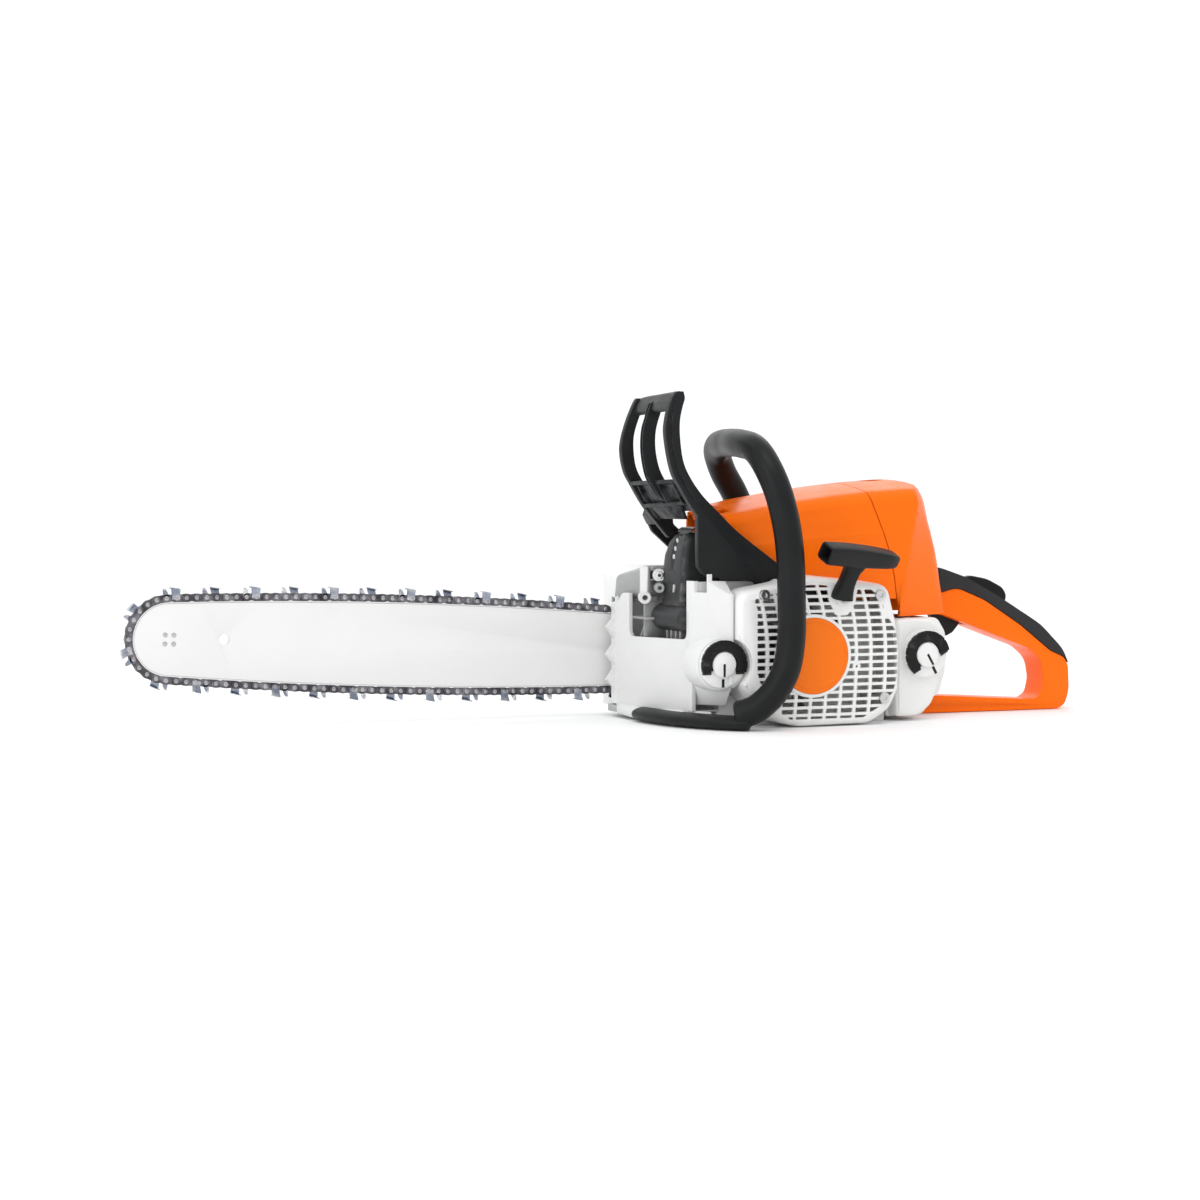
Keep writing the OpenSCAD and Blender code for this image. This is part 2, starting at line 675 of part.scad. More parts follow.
module carburetor() color("silver") difference() {
    union() {
        span([48, -26, 92], [74, 10, 116]);
        disc_y(5, 10, 22, [60, 98]);
        disc_y(4, -34, -26, [60, 106]);
    }
    translate([40, engine_y, 104]) rotate([0, 90, 0]) cylinder(r = 8, h = 40);
}

module intake_boot() color("dimgray") translate([36, engine_y, 104]) rotate([0, 90, 0])
difference() {
    union() {
        cylinder(r = 12, h = 3);
        cylinder(r = 10, h = 12);
        translate([0, 0, 9]) cylinder(r = 12, h = 3);
    }
    translate([0, 0, -1]) cylinder(r = 8, h = 20);
}

module air_filter() color("wheat") difference() {
    union() {
        span([74, -42, 92], [78, 26, 150]);
        for (k = [0 : 6]) span([78, -40 + 9 * k, 101], [92, -34 + 9 * k, 146]);
    }
    translate([70, engine_y, 104]) rotate([0, 90, 0]) cylinder(r = 7, h = 10);
}

module ignition_module() color("dimgray") difference() {
    span([-8, -82, 99], [24, -69, 112]);
    disc_y(flywheel_r + 1.2, -90, -60);
}

module oil_pump() color("silver") union() {
    span([22, cover_y0, 18], [50, cover_y0 + 6, 40]);
    disc_y(6, cover_y0 + 6, cover_y0 + 11, [42, 30]);
}

module main_bearings() color("silver") for (y = [-27 - bearing_w, 11]) difference() {
    disc_y(bearing_r, y, y + bearing_w);
    disc_y(journal_r + clear, y - 1, y + bearing_w + 1);
    ring_y(14.5, 10.5, y - 1, y + 1);
}

module crankshaft() color("silver") union() {
    disc_y(web_r, engine_y - web_gap / 2 - web_w, engine_y - web_gap / 2);
    disc_y(web_r, engine_y + web_gap / 2, engine_y + web_gap / 2 + web_w);
    disc_y(journal_r, -84, engine_y - web_gap / 2 - 1);
    disc_y(journal_r, engine_y + web_gap / 2 + 1, 54);
    disc_y(5, 53, 88);
}

module flywheel() color("gray") difference() {
    union() {
        disc_y(flywheel_r, -72, -67);
        disc_y(13, -82, -66);
        for (k = [0 : blade_count - 1]) rotate_about_crank(360 * k / blade_count)
            span([-1.2, -86, crank_z + 20], [1.2, -71, crank_z + flywheel_r - 0.5]);
    }
    disc_y(journal_r, -90, -50);
}

module clutch_shoes() color("gray") difference() {
    disc_y(31.5, 72.5, 85);
    disc_y(5, 60, 100);
    for (k = [0 : 2]) rotate_about_crank(120 * k)
        span([-1.5, 70, crank_z + 10], [1.5, 90, crank_z + 40]);
    for (k = [0 : 2]) rotate_about_crank(120 * k + 60)
        disc_y(5, 70, 90, [0, crank_z + 20]);
}

module piston() color("silver") difference() {
    translate([0, engine_y, pin_z - 12.4]) cylinder(r = bore_d / 2 - clear, h = 28.4);
    translate([0, engine_y, pin_z - 14]) cylinder(r = bore_d / 2 - 3.4, h = 25);
    disc_y(5, engine_y - 30, engine_y + 30, [0, pin_z]);
    for (z = [crown_z - 5, crown_z - 9]) translate([0, engine_y, z]) difference() {
        cylinder(r = bore_d / 2 + 1, h = 1.2);
        translate([0, 0, -1]) cylinder(r = bore_d / 2 - 1.5, h = 4);
    }
}

module piston_rings() color("gray") for (z = [crown_z - 5, crown_z - 9])
    translate([0, engine_y, z]) difference() {
        cylinder(r = bore_d / 2, h = 1.2);
        translate([0, 0, -1]) cylinder(r = bore_d / 2 - 1.5, h = 4);
    }

module connecting_rod() color("silver") difference() {
    union() {
        disc_y(10, engine_y - 5, engine_y + 5, [0, crank_z - crank_r]);
        disc_y(8, engine_y - 5, engine_y + 5, [0, pin_z]);
        span([-5, engine_y - 3, crank_z - crank_r + 6], [5, engine_y + 3, pin_z - 5]);
    }
    disc_y(6, engine_y - 9, engine_y + 9, [0, crank_z - crank_r]);
    disc_y(5, engine_y - 9, engine_y + 9, [0, pin_z]);
}

module gudgeon_pin() color("silver") disc_y(5, engine_y - 17, engine_y + 17, [0, pin_z]);

module crank_pin() color("silver")
    disc_y(6, engine_y - 5.2, engine_y + 5.2, [0, crank_z - crank_r]);

// ---- Starter ----

module starter_pulley() color("dimgray") difference() {
    union() {
        disc_y(29, -94, -93);
        disc_y(23, -93.5, -89);
        disc_y(29, -89.6, -88.8);
    }
    disc_y(4 + clear, -100, -80);
}

module rewind_spring() color("silver") translate([0, -94.4, crank_z]) rotate([90, 0, 0])
    linear_extrude(2.6) polygon(concat(
        [for (i = [0 : 96]) (7 + i * 0.17) * [cos(15 * i), sin(15 * i)]],
        [for (i = [96 : -1 : 0]) (8 + i * 0.17) * [cos(15 * i), sin(15 * i)]]));

module starter_rope() color("black") union() {
    ring_y(27, 23.5, -92.6, -90);
    translate([25.2, -91.3, crank_z]) cylinder(r = rope_r, h = 32, $fn = 16);
    hull() {
        translate([25.2, -91.3, crank_z + 31]) sphere(r = rope_r, $fn = 16);
        on_grip_axis() translate([0, 0, -13]) sphere(r = rope_r, $fn = 16);
    }
    on_grip_axis() translate([0, 0, -13]) cylinder(r = rope_r, h = 37, $fn = 16);
}

// ---- Controls, caps and fasteners ----

module throttle_trigger() color("dimgray") union() {
    side_plate([[157, 87], [163, 76], [170, 66], [174, 65], [180, 68], [186, 75], [188, 82],
        [185, 89], [164, 95], [158, 94]], -5, 5);
    disc_y(2.5, -7.8, 7.8, trigger_pivot);
}

module throttle_lockout() color("dimgray") union() {
    side_plate([[188, 104], [204, 98], [226, 86], [231, 92], [233, 99], [229, 106], [214, 113.5],
        [196, 117], [189, 112]], -4.2, 4.2);
    disc_y(2.5, -7.8, 7.8, lockout_pivot);
}

module control_lever() color("dimgray") union() {
    side_plate([[149, 110], [155, 110], [162, 120], [158, 123], [149, 116]], -20, -16.2);
    disc_y(2, -16.3, -15.8, lever_pivot);
}

module cap_body(at, face_y, turn) {
    difference() {
        union() {
            disc_y(15.8, face_y - 1, face_y + 14, at);
            disc_y(19.5, face_y - 4, face_y - 0.3, at);
            disc_y(10.5, face_y - 7, face_y - 3, at);
        }
        translate([at[0], face_y - 8, at[1]]) rotate([0, turn, 0])
            translate([-0.8, 0, -18]) cube([1.6, 3, 24]);
        cap_hinge(at, face_y, turn) cylinder(r = 1.6 + clear, h = 39, center = true);
    }
}

module cap_hinge(at, face_y, turn) {
    translate([at[0], face_y - 4.3, at[1]]) rotate([0, turn, 0])
        translate([0, 0, -6.5]) rotate([0, 90, 0]) children();
}

// The half ring that folds out of the cap to turn it
module cap_grip(at, face_y, turn) union() {
    cap_hinge(at, face_y, turn) difference() {
        cylinder(r = 1.6, h = 36, center = true);
        cylinder(r = 3, h = 22, center = true);
    }
    translate([at[0], face_y - 4.3, at[1]]) rotate([0, turn, 0]) rotate([90, 0, 0])
        linear_extrude(3.4) difference() {
            circle(r = 19.8);
            circle(r = 11);
            translate([-30, -46.5]) square([60, 40]);
        }
}

module fuel_cap() color("white") cap_body(fuel_cap_at, -77, fuel_cap_turn);
module fuel_cap_grip() color("dimgray") cap_grip(fuel_cap_at, -77, fuel_cap_turn);
module oil_cap() color("white") cap_body(oil_cap_at, -88, 0);
module oil_cap_grip() color("dimgray") cap_grip(oil_cap_at, -88, 0);

module cover_lock() color("dimgray") translate([100, -4, 0]) difference() {
    union() {
        translate([0, 0, 184]) cylinder(r = 10, h = 11.5);
        translate([0, 0, 184]) cylinder(r = 13, h = 3);
    }
    translate([-8, -1, 193.5]) cube([16, 2, 4]);
}

module housing_screws() color("silver") for (p = screw_at) difference() {
    union() {
        disc_y(2.5, fan_face_y, housing_y0, p);
        disc_y(4.5, fan_face_y - 2.6, fan_face_y, p);
    }
    translate([p[0], fan_face_y - 1.2, p[1]]) rotate([90, 0, 0]) cylinder(r = 2.2, h = 3, $fn = 6);
}

module guard_pivots() color("silver") union() {
    disc_y(4, -74.4, -50, pivot);
    disc_y(6.5, -77.5, -74.3, pivot);
    disc_y(4, 34, 49, pivot);
    disc_y(6.5, 48.9, 51.7, pivot);
}

module buffers() color("black") union() {
    for (p = [[-40, 30], [25, 30], [-40, 66], [25, 66]])
        translate([84, p[0], p[1]]) rotate([0, 90, 0]) cylinder(r = 9, h = 2);
    translate([103, -56, 84.5]) cylinder(r = 5, h = 2);
}

engine_housing();
cylinder_node();  // cylinder
muffler();
muffler_shield();
spark_plug();
plug_boot();
carburetor();
intake_boot();
air_filter();
ignition_module();
oil_pump();
fan_housing();
badge();
shroud();
carb_cover();
fuel_tank();
rear_handle();
handle_insert();
front_handle();
housing_screws();
guard_pivots();
sprocket_cover();
cover_nuts();
bar_studs();
bar_plate();
guide_bar();
bar_core();
nose_rivets();
saw_chain();
brake_band();
chain_catcher();
buffers();
rewind_spring();
starter_rope();
main_bearings();
crankshaft();
flywheel();
clutch_shoes();
piston();
piston_rings();
connecting_rod();
gudgeon_pin();
crank_pin();
clutch_drum();
drum_bearing();
nose_sprocket();
hand_guard();
throttle_trigger();
throttle_lockout();
control_lever();
starter_grip();
starter_pulley();
fuel_cap();
fuel_cap_grip();
oil_cap();
oil_cap_grip();
cover_lock();
tension_screw();
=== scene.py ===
# A petrol chainsaw's visible model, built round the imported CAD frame.
import json
import math

import bmesh
import bpy
from mathutils import Matrix, Vector


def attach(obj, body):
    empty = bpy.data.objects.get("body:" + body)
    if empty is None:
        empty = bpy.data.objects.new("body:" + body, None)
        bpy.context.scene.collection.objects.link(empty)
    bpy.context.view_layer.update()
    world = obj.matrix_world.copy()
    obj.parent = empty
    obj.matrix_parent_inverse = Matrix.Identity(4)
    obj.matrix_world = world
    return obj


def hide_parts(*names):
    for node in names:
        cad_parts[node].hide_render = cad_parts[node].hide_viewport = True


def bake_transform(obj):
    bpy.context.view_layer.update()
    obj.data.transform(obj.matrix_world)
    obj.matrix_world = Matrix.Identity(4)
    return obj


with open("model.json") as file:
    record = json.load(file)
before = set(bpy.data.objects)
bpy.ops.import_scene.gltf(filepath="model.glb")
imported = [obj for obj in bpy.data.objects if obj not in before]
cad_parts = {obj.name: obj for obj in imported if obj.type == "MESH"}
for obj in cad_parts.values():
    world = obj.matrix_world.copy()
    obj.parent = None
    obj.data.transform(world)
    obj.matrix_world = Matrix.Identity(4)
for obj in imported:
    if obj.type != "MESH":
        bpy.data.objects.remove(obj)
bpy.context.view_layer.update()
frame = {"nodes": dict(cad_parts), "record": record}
NODES = frame["nodes"]
MM = 0.001
SCENE = bpy.context.scene


# ---- Meshes from numbers in millimetres ----

def mesh_piece(name, verts, faces):
    """A new object from points in millimetres, with its faces turned outwards."""
    mesh = bpy.data.meshes.new(name)
    mesh.from_pydata([Vector(v) * MM for v in verts], [], faces)
    work = bmesh.new()
    work.from_mesh(mesh)
    bmesh.ops.remove_doubles(work, verts=work.verts, dist=1e-6)
    bmesh.ops.recalc_face_normals(work, faces=work.faces)
    work.to_mesh(mesh)
    work.free()
    obj = bpy.data.objects.new(name, mesh)
    SCENE.collection.objects.link(obj)
    return obj


def prism(name, low, high):
    """A solid between two loops with the same number of points."""
    n = len(low)
    faces = [list(range(n)), list(range(2 * n - 1, n - 1, -1))]
    faces += [[i, (i + 1) % n, n + (i + 1) % n, n + i] for i in range(n)]
    return mesh_piece(name, list(low) + list(high), faces)


def plate(name, outline, y0, y1):
    """A solid between two places across the saw, from an outline seen from the side."""
    return prism(name, [(x, y0, z) for x, z in outline], [(x, y1, z) for x, z in outline])


def slab(name, plan, z0, z1):
    """A solid between two heights, from an outline seen from above."""
    return prism(name, [(x, y, z0) for x, y in plan], [(x, y, z1) for x, y in plan])


def beam(name, section, x0, x1):
    """A solid along the saw, from an outline seen from the front."""
    return prism(name, [(x0, y, z) for y, z in section], [(x1, y, z) for y, z in section])


def brick(name, low, high):
    return slab(name, [(low[0], low[1]), (high[0], low[1]), (high[0], high[1]),
            (low[0], high[1])], low[2], high[2])


def grid_piece(name, rows, closed=False):
    """A skin over rows of points; closed joins each row's ends."""
    n = len(rows[0])
    verts = [p for row in rows for p in row]
    faces = []
    for j in range(len(rows) - 1):
        for i in range(n if closed else n - 1):
            k = (i + 1) % n
            faces.append([j * n + i, j * n + k, (j + 1) * n + k, (j + 1) * n + i])
    return mesh_piece(name, verts, faces)


def capped_loft(name, rows):
    """A closed solid through closed rows of points."""
    n = len(rows[0])
    verts = [p for row in rows for p in row]
    faces = [list(range(n)), list(range(len(verts) - 1, len(verts) - n - 1, -1))]
    for j in range(len(rows) - 1):
        for i in range(n):
            k = (i + 1) % n
            faces.append([j * n + i, j * n + k, (j + 1) * n + k, (j + 1) * n + i])
    return mesh_piece(name, verts, faces)


def lathe(name, profile, at, axis, steps=48, start=0.0, sweep=360.0):
    """Turns (radius, height) pairs about an axis through a point."""
    axis = Vector(axis).normalized()
    side = axis.orthogonal().normalized()
    if abs(axis.x) < 0.99:
        side = (Vector((1, 0, 0)) - axis * axis.x).normalized()
    up = axis.cross(side)
    full = sweep >= 360
    count = steps if full else steps + 1
    rows = []
    for k in range(count):
        a = math.radians(start + sweep * k / steps)
        way = side * math.cos(a) + up * math.sin(a)
        rows.append([Vector(at) + way * r + axis * h for r, h in profile])
    n = len(profile)
    verts = [p for row in rows for p in row]
    faces = []
    for k in range(steps):
        j = (k + 1) % count
        for i in range(n - 1):
            faces.append([k * n + i, k * n + i + 1, j * n + i + 1, j * n + i])
    if profile[0][0] > 1e-6 and profile[0] != profile[-1]:
        faces.append([k * n for k in range(count)])
        faces.append([k * n + n - 1 for k in range(count)][::-1])
    if not full:
        faces.append([i for i in range(n)])
        faces.append([(count - 1) * n + i for i in range(n)][::-1])
    return mesh_piece(name, verts, faces)


def disc(name, r, y0, y1, at, steps=48):
    """A turned disc along Y with softened rims."""
    e = min(0.6, (y1 - y0) * 0.3)
    return lathe(name, [(0, 0), (r - e, 0), (r, e), (r, y1 - y0 - e), (r - e, y1 - y0),
            (0, y1 - y0)], (at[0], y0, at[1]), (0, 1, 0), steps)


def smooth_path(points, steps):
    """Points on the smooth curve through the given ones."""
    p = [Vector(q) for q in points]
    out = []
    for i in range(len(p) - 1):
        a, b, c, d = p[max(i - 1, 0)], p[i], p[i + 1], p[min(i + 2, len(p) - 1)]
        for k in range(steps):
            t = k / steps
            out.append(0.5 * (2 * b + (c - a) * t + (2 * a - 5 * b + 4 * c - d) * t * t
                    + (3 * b - a - 3 * c + d) * t ** 3))
    out.append(p[-1])
    return out


def tube(name, path, radius, sides=28, shape=None):
    """A tube along a path. shape(share, angle) scales the radius."""
    rows, last = [], len(path) - 1
    normal = None
    for i, p in enumerate(path):
        t = (path[min(i + 1, last)] - path[max(i - 1, 0)]).normalized()
        if normal is None:
            normal = t.orthogonal().normalized()
        normal = (normal - t * normal.dot(t)).normalized()
        other = t.cross(normal)
        row = []
        for k in range(sides):
            a = 2 * math.pi * k / sides
            r = radius * (shape(i / last, a) if shape else 1.0)
            row.append(p + (normal * math.cos(a) + other * math.sin(a)) * r)
        rows.append(row)
    return capped_loft(name, rows)


def rounded(points, radius, steps=5):
    """Turns each corner of a closed outline into an arc; radius is one number or a list."""
    out = []
    n = len(points)
    for i, p in enumerate(points):
        r = radius[i] if isinstance(radius, (list, tuple)) else radius
        b = Vector(p)
        u = Vector(points[i - 1]) - b
        v = Vector(points[(i + 1) % n]) - b
        if r <= 0.01:
            out.append(tuple(b))
            continue
        lu, lv = u.length, v.length
        u.normalize()
        v.normalize()
        angle = u.angle(v)
        if angle > math.radians(176):
            out.append(tuple(b))
            continue
        reach = min(r / math.tan(angle / 2), lu * 0.48, lv * 0.48)
        p0, p1 = b + u * reach, b + v * reach
        for k in range(steps + 1):
            t = k / steps
            out.append(tuple(p0 * (1 - t) ** 2 + b * 2 * t * (1 - t) + p1 * t * t))
    return out


def inset(points, d):
    """Moves every edge of a counter-clockwise outline inwards."""
    out = []
    n = len(points)
    for i in range(n):
        b = Vector(points[i])
        u = (b - Vector(points[i - 1])).normalized()
        v = (Vector(points[(i + 1) % n]) - b).normalized()
        m, k = Vector((-u.y, u.x)), Vector((-v.y, v.x))
        out.append(tuple(b + (m + k) * (d / (1 + m.dot(k)))))
    return out


def lerp(table, x):
    """Reads a table of (x, y) pairs in rising x."""
    if x <= table[0][0]:
        return table[0][1]
    for (x0, y0), (x1, y1) in zip(table, table[1:]):
        if x <= x1:
            return y0 + (y1 - y0) * (x - x0) / (x1 - x0)
    return table[-1][1]


# ---- Working on pieces ----

def settle(obj):
    """Applies the modifiers of a piece."""
    graph = bpy.context.evaluated_depsgraph_get()
    mesh = bpy.data.meshes.new_from_object(obj.evaluated_get(graph))
    obj.modifiers.clear()
    obj.data = mesh
    return obj


def combine(obj, cutter, how="DIFFERENCE"):
    """Applies a boolean with the cutter, then removes the cutter."""
    mod = obj.modifiers.new("shape", "BOOLEAN")
    mod.operation = how
    mod.solver = "EXACT"
    mod.object = cutter
    settle(obj)
    bpy.data.objects.remove(cutter)
    return obj


def cut(obj, *cutters):
    for cutter in cutters:
        combine(obj, cutter)
    return obj


def merge(name, objs):
    """One object from several, with no boolean."""
    work = bmesh.new()
    for o in objs:
        work.from_mesh(o.data)
        bpy.data.objects.remove(o)
    mesh = bpy.data.meshes.new(name)
    work.to_mesh(mesh)
    work.free()
    obj = bpy.data.objects.new(name, mesh)
    SCENE.collection.objects.link(obj)
    return obj


def tidy_faces(obj, degrees=0.6):
    """Joins doubled points and flat neighbouring faces."""
    work = bmesh.new()
    work.from_mesh(obj.data)
    bmesh.ops.remove_doubles(work, verts=work.verts, dist=2e-6)
    bmesh.ops.dissolve_limit(work, angle_limit=math.radians(degrees), verts=work.verts,
        edges=work.edges)
    work.to_mesh(obj.data)
    work.free()
    return obj


def soften(obj, width, segments=3, angle=28):
    """Rounds the edges of a piece, which stays smooth between them."""
    mod = obj.modifiers.new("rounding", "BEVEL")
    mod.width = width * MM
    mod.segments = segments
    mod.limit_method = "ANGLE"
    mod.angle_limit = math.radians(angle)
    mod.use_clamp_overlap = True
    settle(obj)
    return shade(obj)


def shade(obj, degrees=38):
    """Smooth shading, kept sharp at edges steeper than the angle."""
    obj.data.shade_smooth()
    obj.data.set_sharp_from_angle(angle=math.radians(degrees))
    return obj


def thicken(obj, wall, inward=-1.0):
    """Gives an open skin a wall."""
    mod = obj.modifiers.new("wall", "SOLIDIFY")
    mod.thickness = wall * MM
    mod.offset = inward
    mod.use_even_offset = True
    return settle(obj)


def moved(obj, matrix):
    obj.data.transform(matrix)
    return obj


def turned(obj, at, axis, degrees):
    to = Matrix.Translation(Vector(at) * MM)
    return moved(obj, to @ Matrix.Rotation(math.radians(degrees), 4, Vector(axis))
        @ to.inverted())


def show(obj, material, body="powerhead", instead=()):
    """Gives a piece its finish and its body, and hides the CAD nodes it stands for."""
    obj.data.materials.clear()
    obj.data.materials.append(material)
    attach(obj, body)
    if instead:
        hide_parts(*([instead] if isinstance(instead, str) else instead))
    return obj


def copy_node(node):
    """A copy of a CAD node that can be cut and rounded."""
    obj = bpy.data.objects.new(node + "_shown", NODES[node].data.copy())
    SCENE.collection.objects.link(obj)
    return tidy_faces(obj)


def refine(node, material, body="powerhead", width=0.6, segments=2):
    """A CAD node's own shape with rounded edges."""
    return show(soften(copy_node(node), width, segments), material, body, node)


# ---- Finishes ----

def linear(r, g, b):
    """An sRGB colour from 0 to 255 as linear numbers."""
    return tuple(((c / 255 + 0.055) / 1.055) ** 2.4 if c > 10 else c / 3295 for c in (r, g, b))


def finish(name, colour, rough, metal=0.0, grain=(900, 0.15, 0.0002), tone=0.05,
    spread=0.06, wear=None, hollow_shade=0.0, stretch=(1, 1, 1), coat=0.0, specular=0.5,
    peel=None):
    """A procedural material: mottled colour, uneven gloss, grain, worn edges and painted shade
    darkening the hollows.
    """
    mat = bpy.data.materials.new(name)
    mat.use_nodes = True
    tree = mat.node_tree
    node = tree.nodes.new
    link = tree.links.new
    bsdf = tree.nodes["Principled BSDF"]
    bsdf.inputs["Metallic"].default_value = metal
    bsdf.inputs["Coat Weight"].default_value = coat
    bsdf.inputs["Coat Roughness"].default_value = 0.12
    bsdf.inputs["Specular IOR Level"].default_value = specular
    place = node("ShaderNodeTexCoord").outputs["Object"]
    if stretch != (1, 1, 1):
        mapping = node("ShaderNodeMapping")
        mapping.inputs["Scale"].default_value = stretch
        link(place, mapping.inputs["Vector"])
        lined = mapping.outputs["Vector"]
    else:
        lined = place

    def noise(scale, detail, where=place, roughness=0.55):
        n = node("ShaderNodeTexNoise")
        n.inputs["Scale"].default_value = scale
        n.inputs["Detail"].default_value = detail
        n.inputs["Roughness"].default_value = roughness
        link(where, n.inputs["Vector"])
        return n.outputs["Fac"]

    def span(value, low, high, to_low, to_high):
        m = node("ShaderNodeMapRange")
        m.inputs["From Min"].default_value = low
        m.inputs["From Max"].default_value = high
        m.inputs["To Min"].default_value = to_low
        m.inputs["To Max"].default_value = to_high
        link(value, m.inputs["Value"])
        return m.outputs["Result"]

    def blend_colour(share, a, b):
        m = node("ShaderNodeMix")
        m.data_type = "RGBA"
        link(share, m.inputs["Factor"])
        for socket, value in ((m.inputs["A"], a), (m.inputs["B"], b)):
            if isinstance(value, tuple):
                socket.default_value = (*value, 1)
            else:
                link(value, socket)
        return m.outputs["Result"]

    dark = tuple(c * (1 - tone) for c in colour)
    light = tuple(min(1, c * (1 + tone) + tone * 0.004) for c in colour)
    base = blend_colour(span(noise(14, 4), 0.35, 0.65, 0, 1), dark, light)
    base = blend_colour(span(noise(grain[0] * 0.35, 2, lined), 0.3, 0.75, 0, 0.5), base, dark)
    shape = node("ShaderNodeNewGeometry").outputs["Pointiness"]
    # Painted shade: hollows and creases are darkened towards a deeper tone of the same colour
    if hollow_shade:
        low = span(shape, 0.495, 0.44, 0, hollow_shade)
        base = blend_colour(low, base, tuple(c * 0.45 for c in colour))
    if wear:
        edge = node("ShaderNodeMath")
        edge.operation = "MULTIPLY"
        link(span(shape, 0.53, 0.60, 0, 1), edge.inputs[0])
        link(span(noise(120, 5), 0.42, 0.6, 0, 1), edge.inputs[1])
        base = blend_colour(edge.outputs[0], base, wear)
    link(base, bsdf.inputs["Base Color"])
    gloss = span(noise(45, 5, lined), 0.3, 0.7, max(0.03, rough - spread), rough + spread)
    link(gloss, bsdf.inputs["Roughness"])
    bump = node("ShaderNodeBump")
    bump.inputs["Strength"].default_value = grain[1]
    bump.inputs["Distance"].default_value = grain[2]
    link(noise(grain[0], 3, lined), bump.inputs["Height"])
    top = bump.outputs["Normal"]
    if peel:
        wave = node("ShaderNodeBump")
        wave.inputs["Strength"].default_value = peel[1]
        wave.inputs["Distance"].default_value = peel[2]
        link(noise(peel[0], 1), wave.inputs["Height"])
        link(top, wave.inputs["Normal"])
        top = wave.outputs["Normal"]
    link(top, bsdf.inputs["Normal"])
    return mat


# Where a finish below darkens its hollows, that darkening is painted shade
WHITE_METAL = finish("white_metal", (0.73, 0.735, 0.725), 0.42, grain=(700, 0.25, 0.0002),
    tone=0.025, hollow_shade=0.3, peel=(260, 0.12, 0.0004), specular=0.3)
WHITE_PLASTIC = finish("white_plastic", (0.82, 0.825, 0.81), 0.34, grain=(1500, 0.12, 0.0001),
    tone=0.02, hollow_shade=0.3, specular=0.3)
ORANGE = finish("orange_plastic", linear(255, 112, 2), 0.30, grain=(1300, 0.12, 0.0001),
    tone=0.04, hollow_shade=0.25, specular=0.16)
CHARCOAL = finish("charcoal_plastic", linear(26, 27, 28), 0.42, grain=(2200, 0.35, 0.0002),
    tone=0.15, wear=linear(66, 68, 70), specular=0.18)
BLACK = finish("black_plastic", linear(16, 16, 17), 0.38, grain=(2000, 0.3, 0.0002),
    tone=0.15, wear=linear(55, 55, 55), specular=0.22)
HANDLE_SKIN = finish("handle_skin", linear(25, 26, 27), 0.38, grain=(1800, 0.35, 0.0002),
    tone=0.2, stretch=(1, 1, 0.3), specular=0.18)
GRIP_RUBBER = finish("grip_rubber", linear(46, 46, 48), 0.52, grain=(2600, 0.5, 0.0002),
    tone=0.12, specular=0.22)
RUBBER = finish("rubber", linear(26, 26, 26), 0.62, grain=(1500, 0.4, 0.0003), tone=0.2)
STEEL = finish("bare_steel", (0.55, 0.55, 0.56), 0.30, 1.0, grain=(900, 0.2, 0.0001),
    tone=0.12, spread=0.1, stretch=(1, 1, 8))
ZINC = finish("zinc_steel", (0.66, 0.66, 0.65), 0.34, 1.0, grain=(1200, 0.25, 0.0001),
    tone=0.15, spread=0.12)
HEAT_STEEL = finish("heat_steel", (0.035, 0.035, 0.037), 0.40, 0.3, tone=0.25,
    grain=(900, 0.3, 0.0002), spread=0.12)
CHAIN_STEEL = finish("chain_steel", (0.075, 0.07, 0.08), 0.38, 0.7, tone=0.35,
    grain=(1600, 0.3, 0.0001), wear=(0.34, 0.33, 0.35), spread=0.12)
CUTTER_STEEL = finish("cutter_steel", (0.26, 0.29, 0.36), 0.26, 1.0, tone=0.3,
    grain=(1500, 0.2, 0.0001), wear=(0.7, 0.7, 0.7), spread=0.1)
RIVET_STEEL = finish("rivet_steel", (0.36, 0.35, 0.37), 0.28, 1.0, tone=0.2,
    grain=(1400, 0.2, 0.0001), wear=(0.72, 0.72, 0.72), spread=0.1)
BAR_WHITE = finish("bar_paint", (0.76, 0.76, 0.75), 0.34, grain=(1100, 0.12, 0.0001),
    tone=0.015, peel=(90, 0.08, 0.0004), stretch=(0.25, 1, 1), specular=0.3)
CAST = finish("cast_aluminium", (0.42, 0.425, 0.42), 0.5, 0.6, grain=(1000, 0.5, 0.0003),
    tone=0.15, hollow_shade=0.5)
MUFFLER_GREY = finish("muffler_paint", linear(52, 53, 54), 0.42, 0.2, tone=0.18,
    grain=(900, 0.35, 0.0003), wear=linear(110, 110, 110), hollow_shade=0.4, specular=0.25,
    peel=(180, 0.2, 0.0005))
FELT = finish("filter_felt", linear(206, 196, 168), 0.9, grain=(1600, 0.8, 0.0006), tone=0.12)
CORD = finish("rope_braid", linear(36, 36, 36), 0.75, grain=(1400, 0.9, 0.0006), tone=0.35)
CERAMIC = finish("ceramic", (0.82, 0.81, 0.78), 0.18, grain=(600, 0.05, 0.0001), tone=0.04)
BADGE_ORANGE = finish("badge_orange", linear(248, 118, 12), 0.40, grain=(1500, 0.1, 0.0001),
    tone=0.03, specular=0.2)
# ---- Top covers: one skin from the muffler to the rear, parted at a seam ----

SKIN_LOW = 101
TOP_LINE = [(-70, 171), (-62, 173), (-44, 177), (-25, 181), (8, 186.5), (40, 191),
    (75, 194.8), (108, 197)]
SEAM = [(86, 98.4), (101, 95), (120, 92.8), (143, 87.3), (166, 79), (189, 70), (197, 67)]
SHROUD_FRONT = [(101, -10), (124, -11), (133, -24), (165, -56), (178, -58), (196, -59)]
REAR_LINE = [(85, 153), (112, 147.5), (125, 145.5), (140, 142.5), (165, 135.5), (181, 131),
    (188, 127.5), (192.5, 123), (195.3, 116.5), (196.5, 107)]


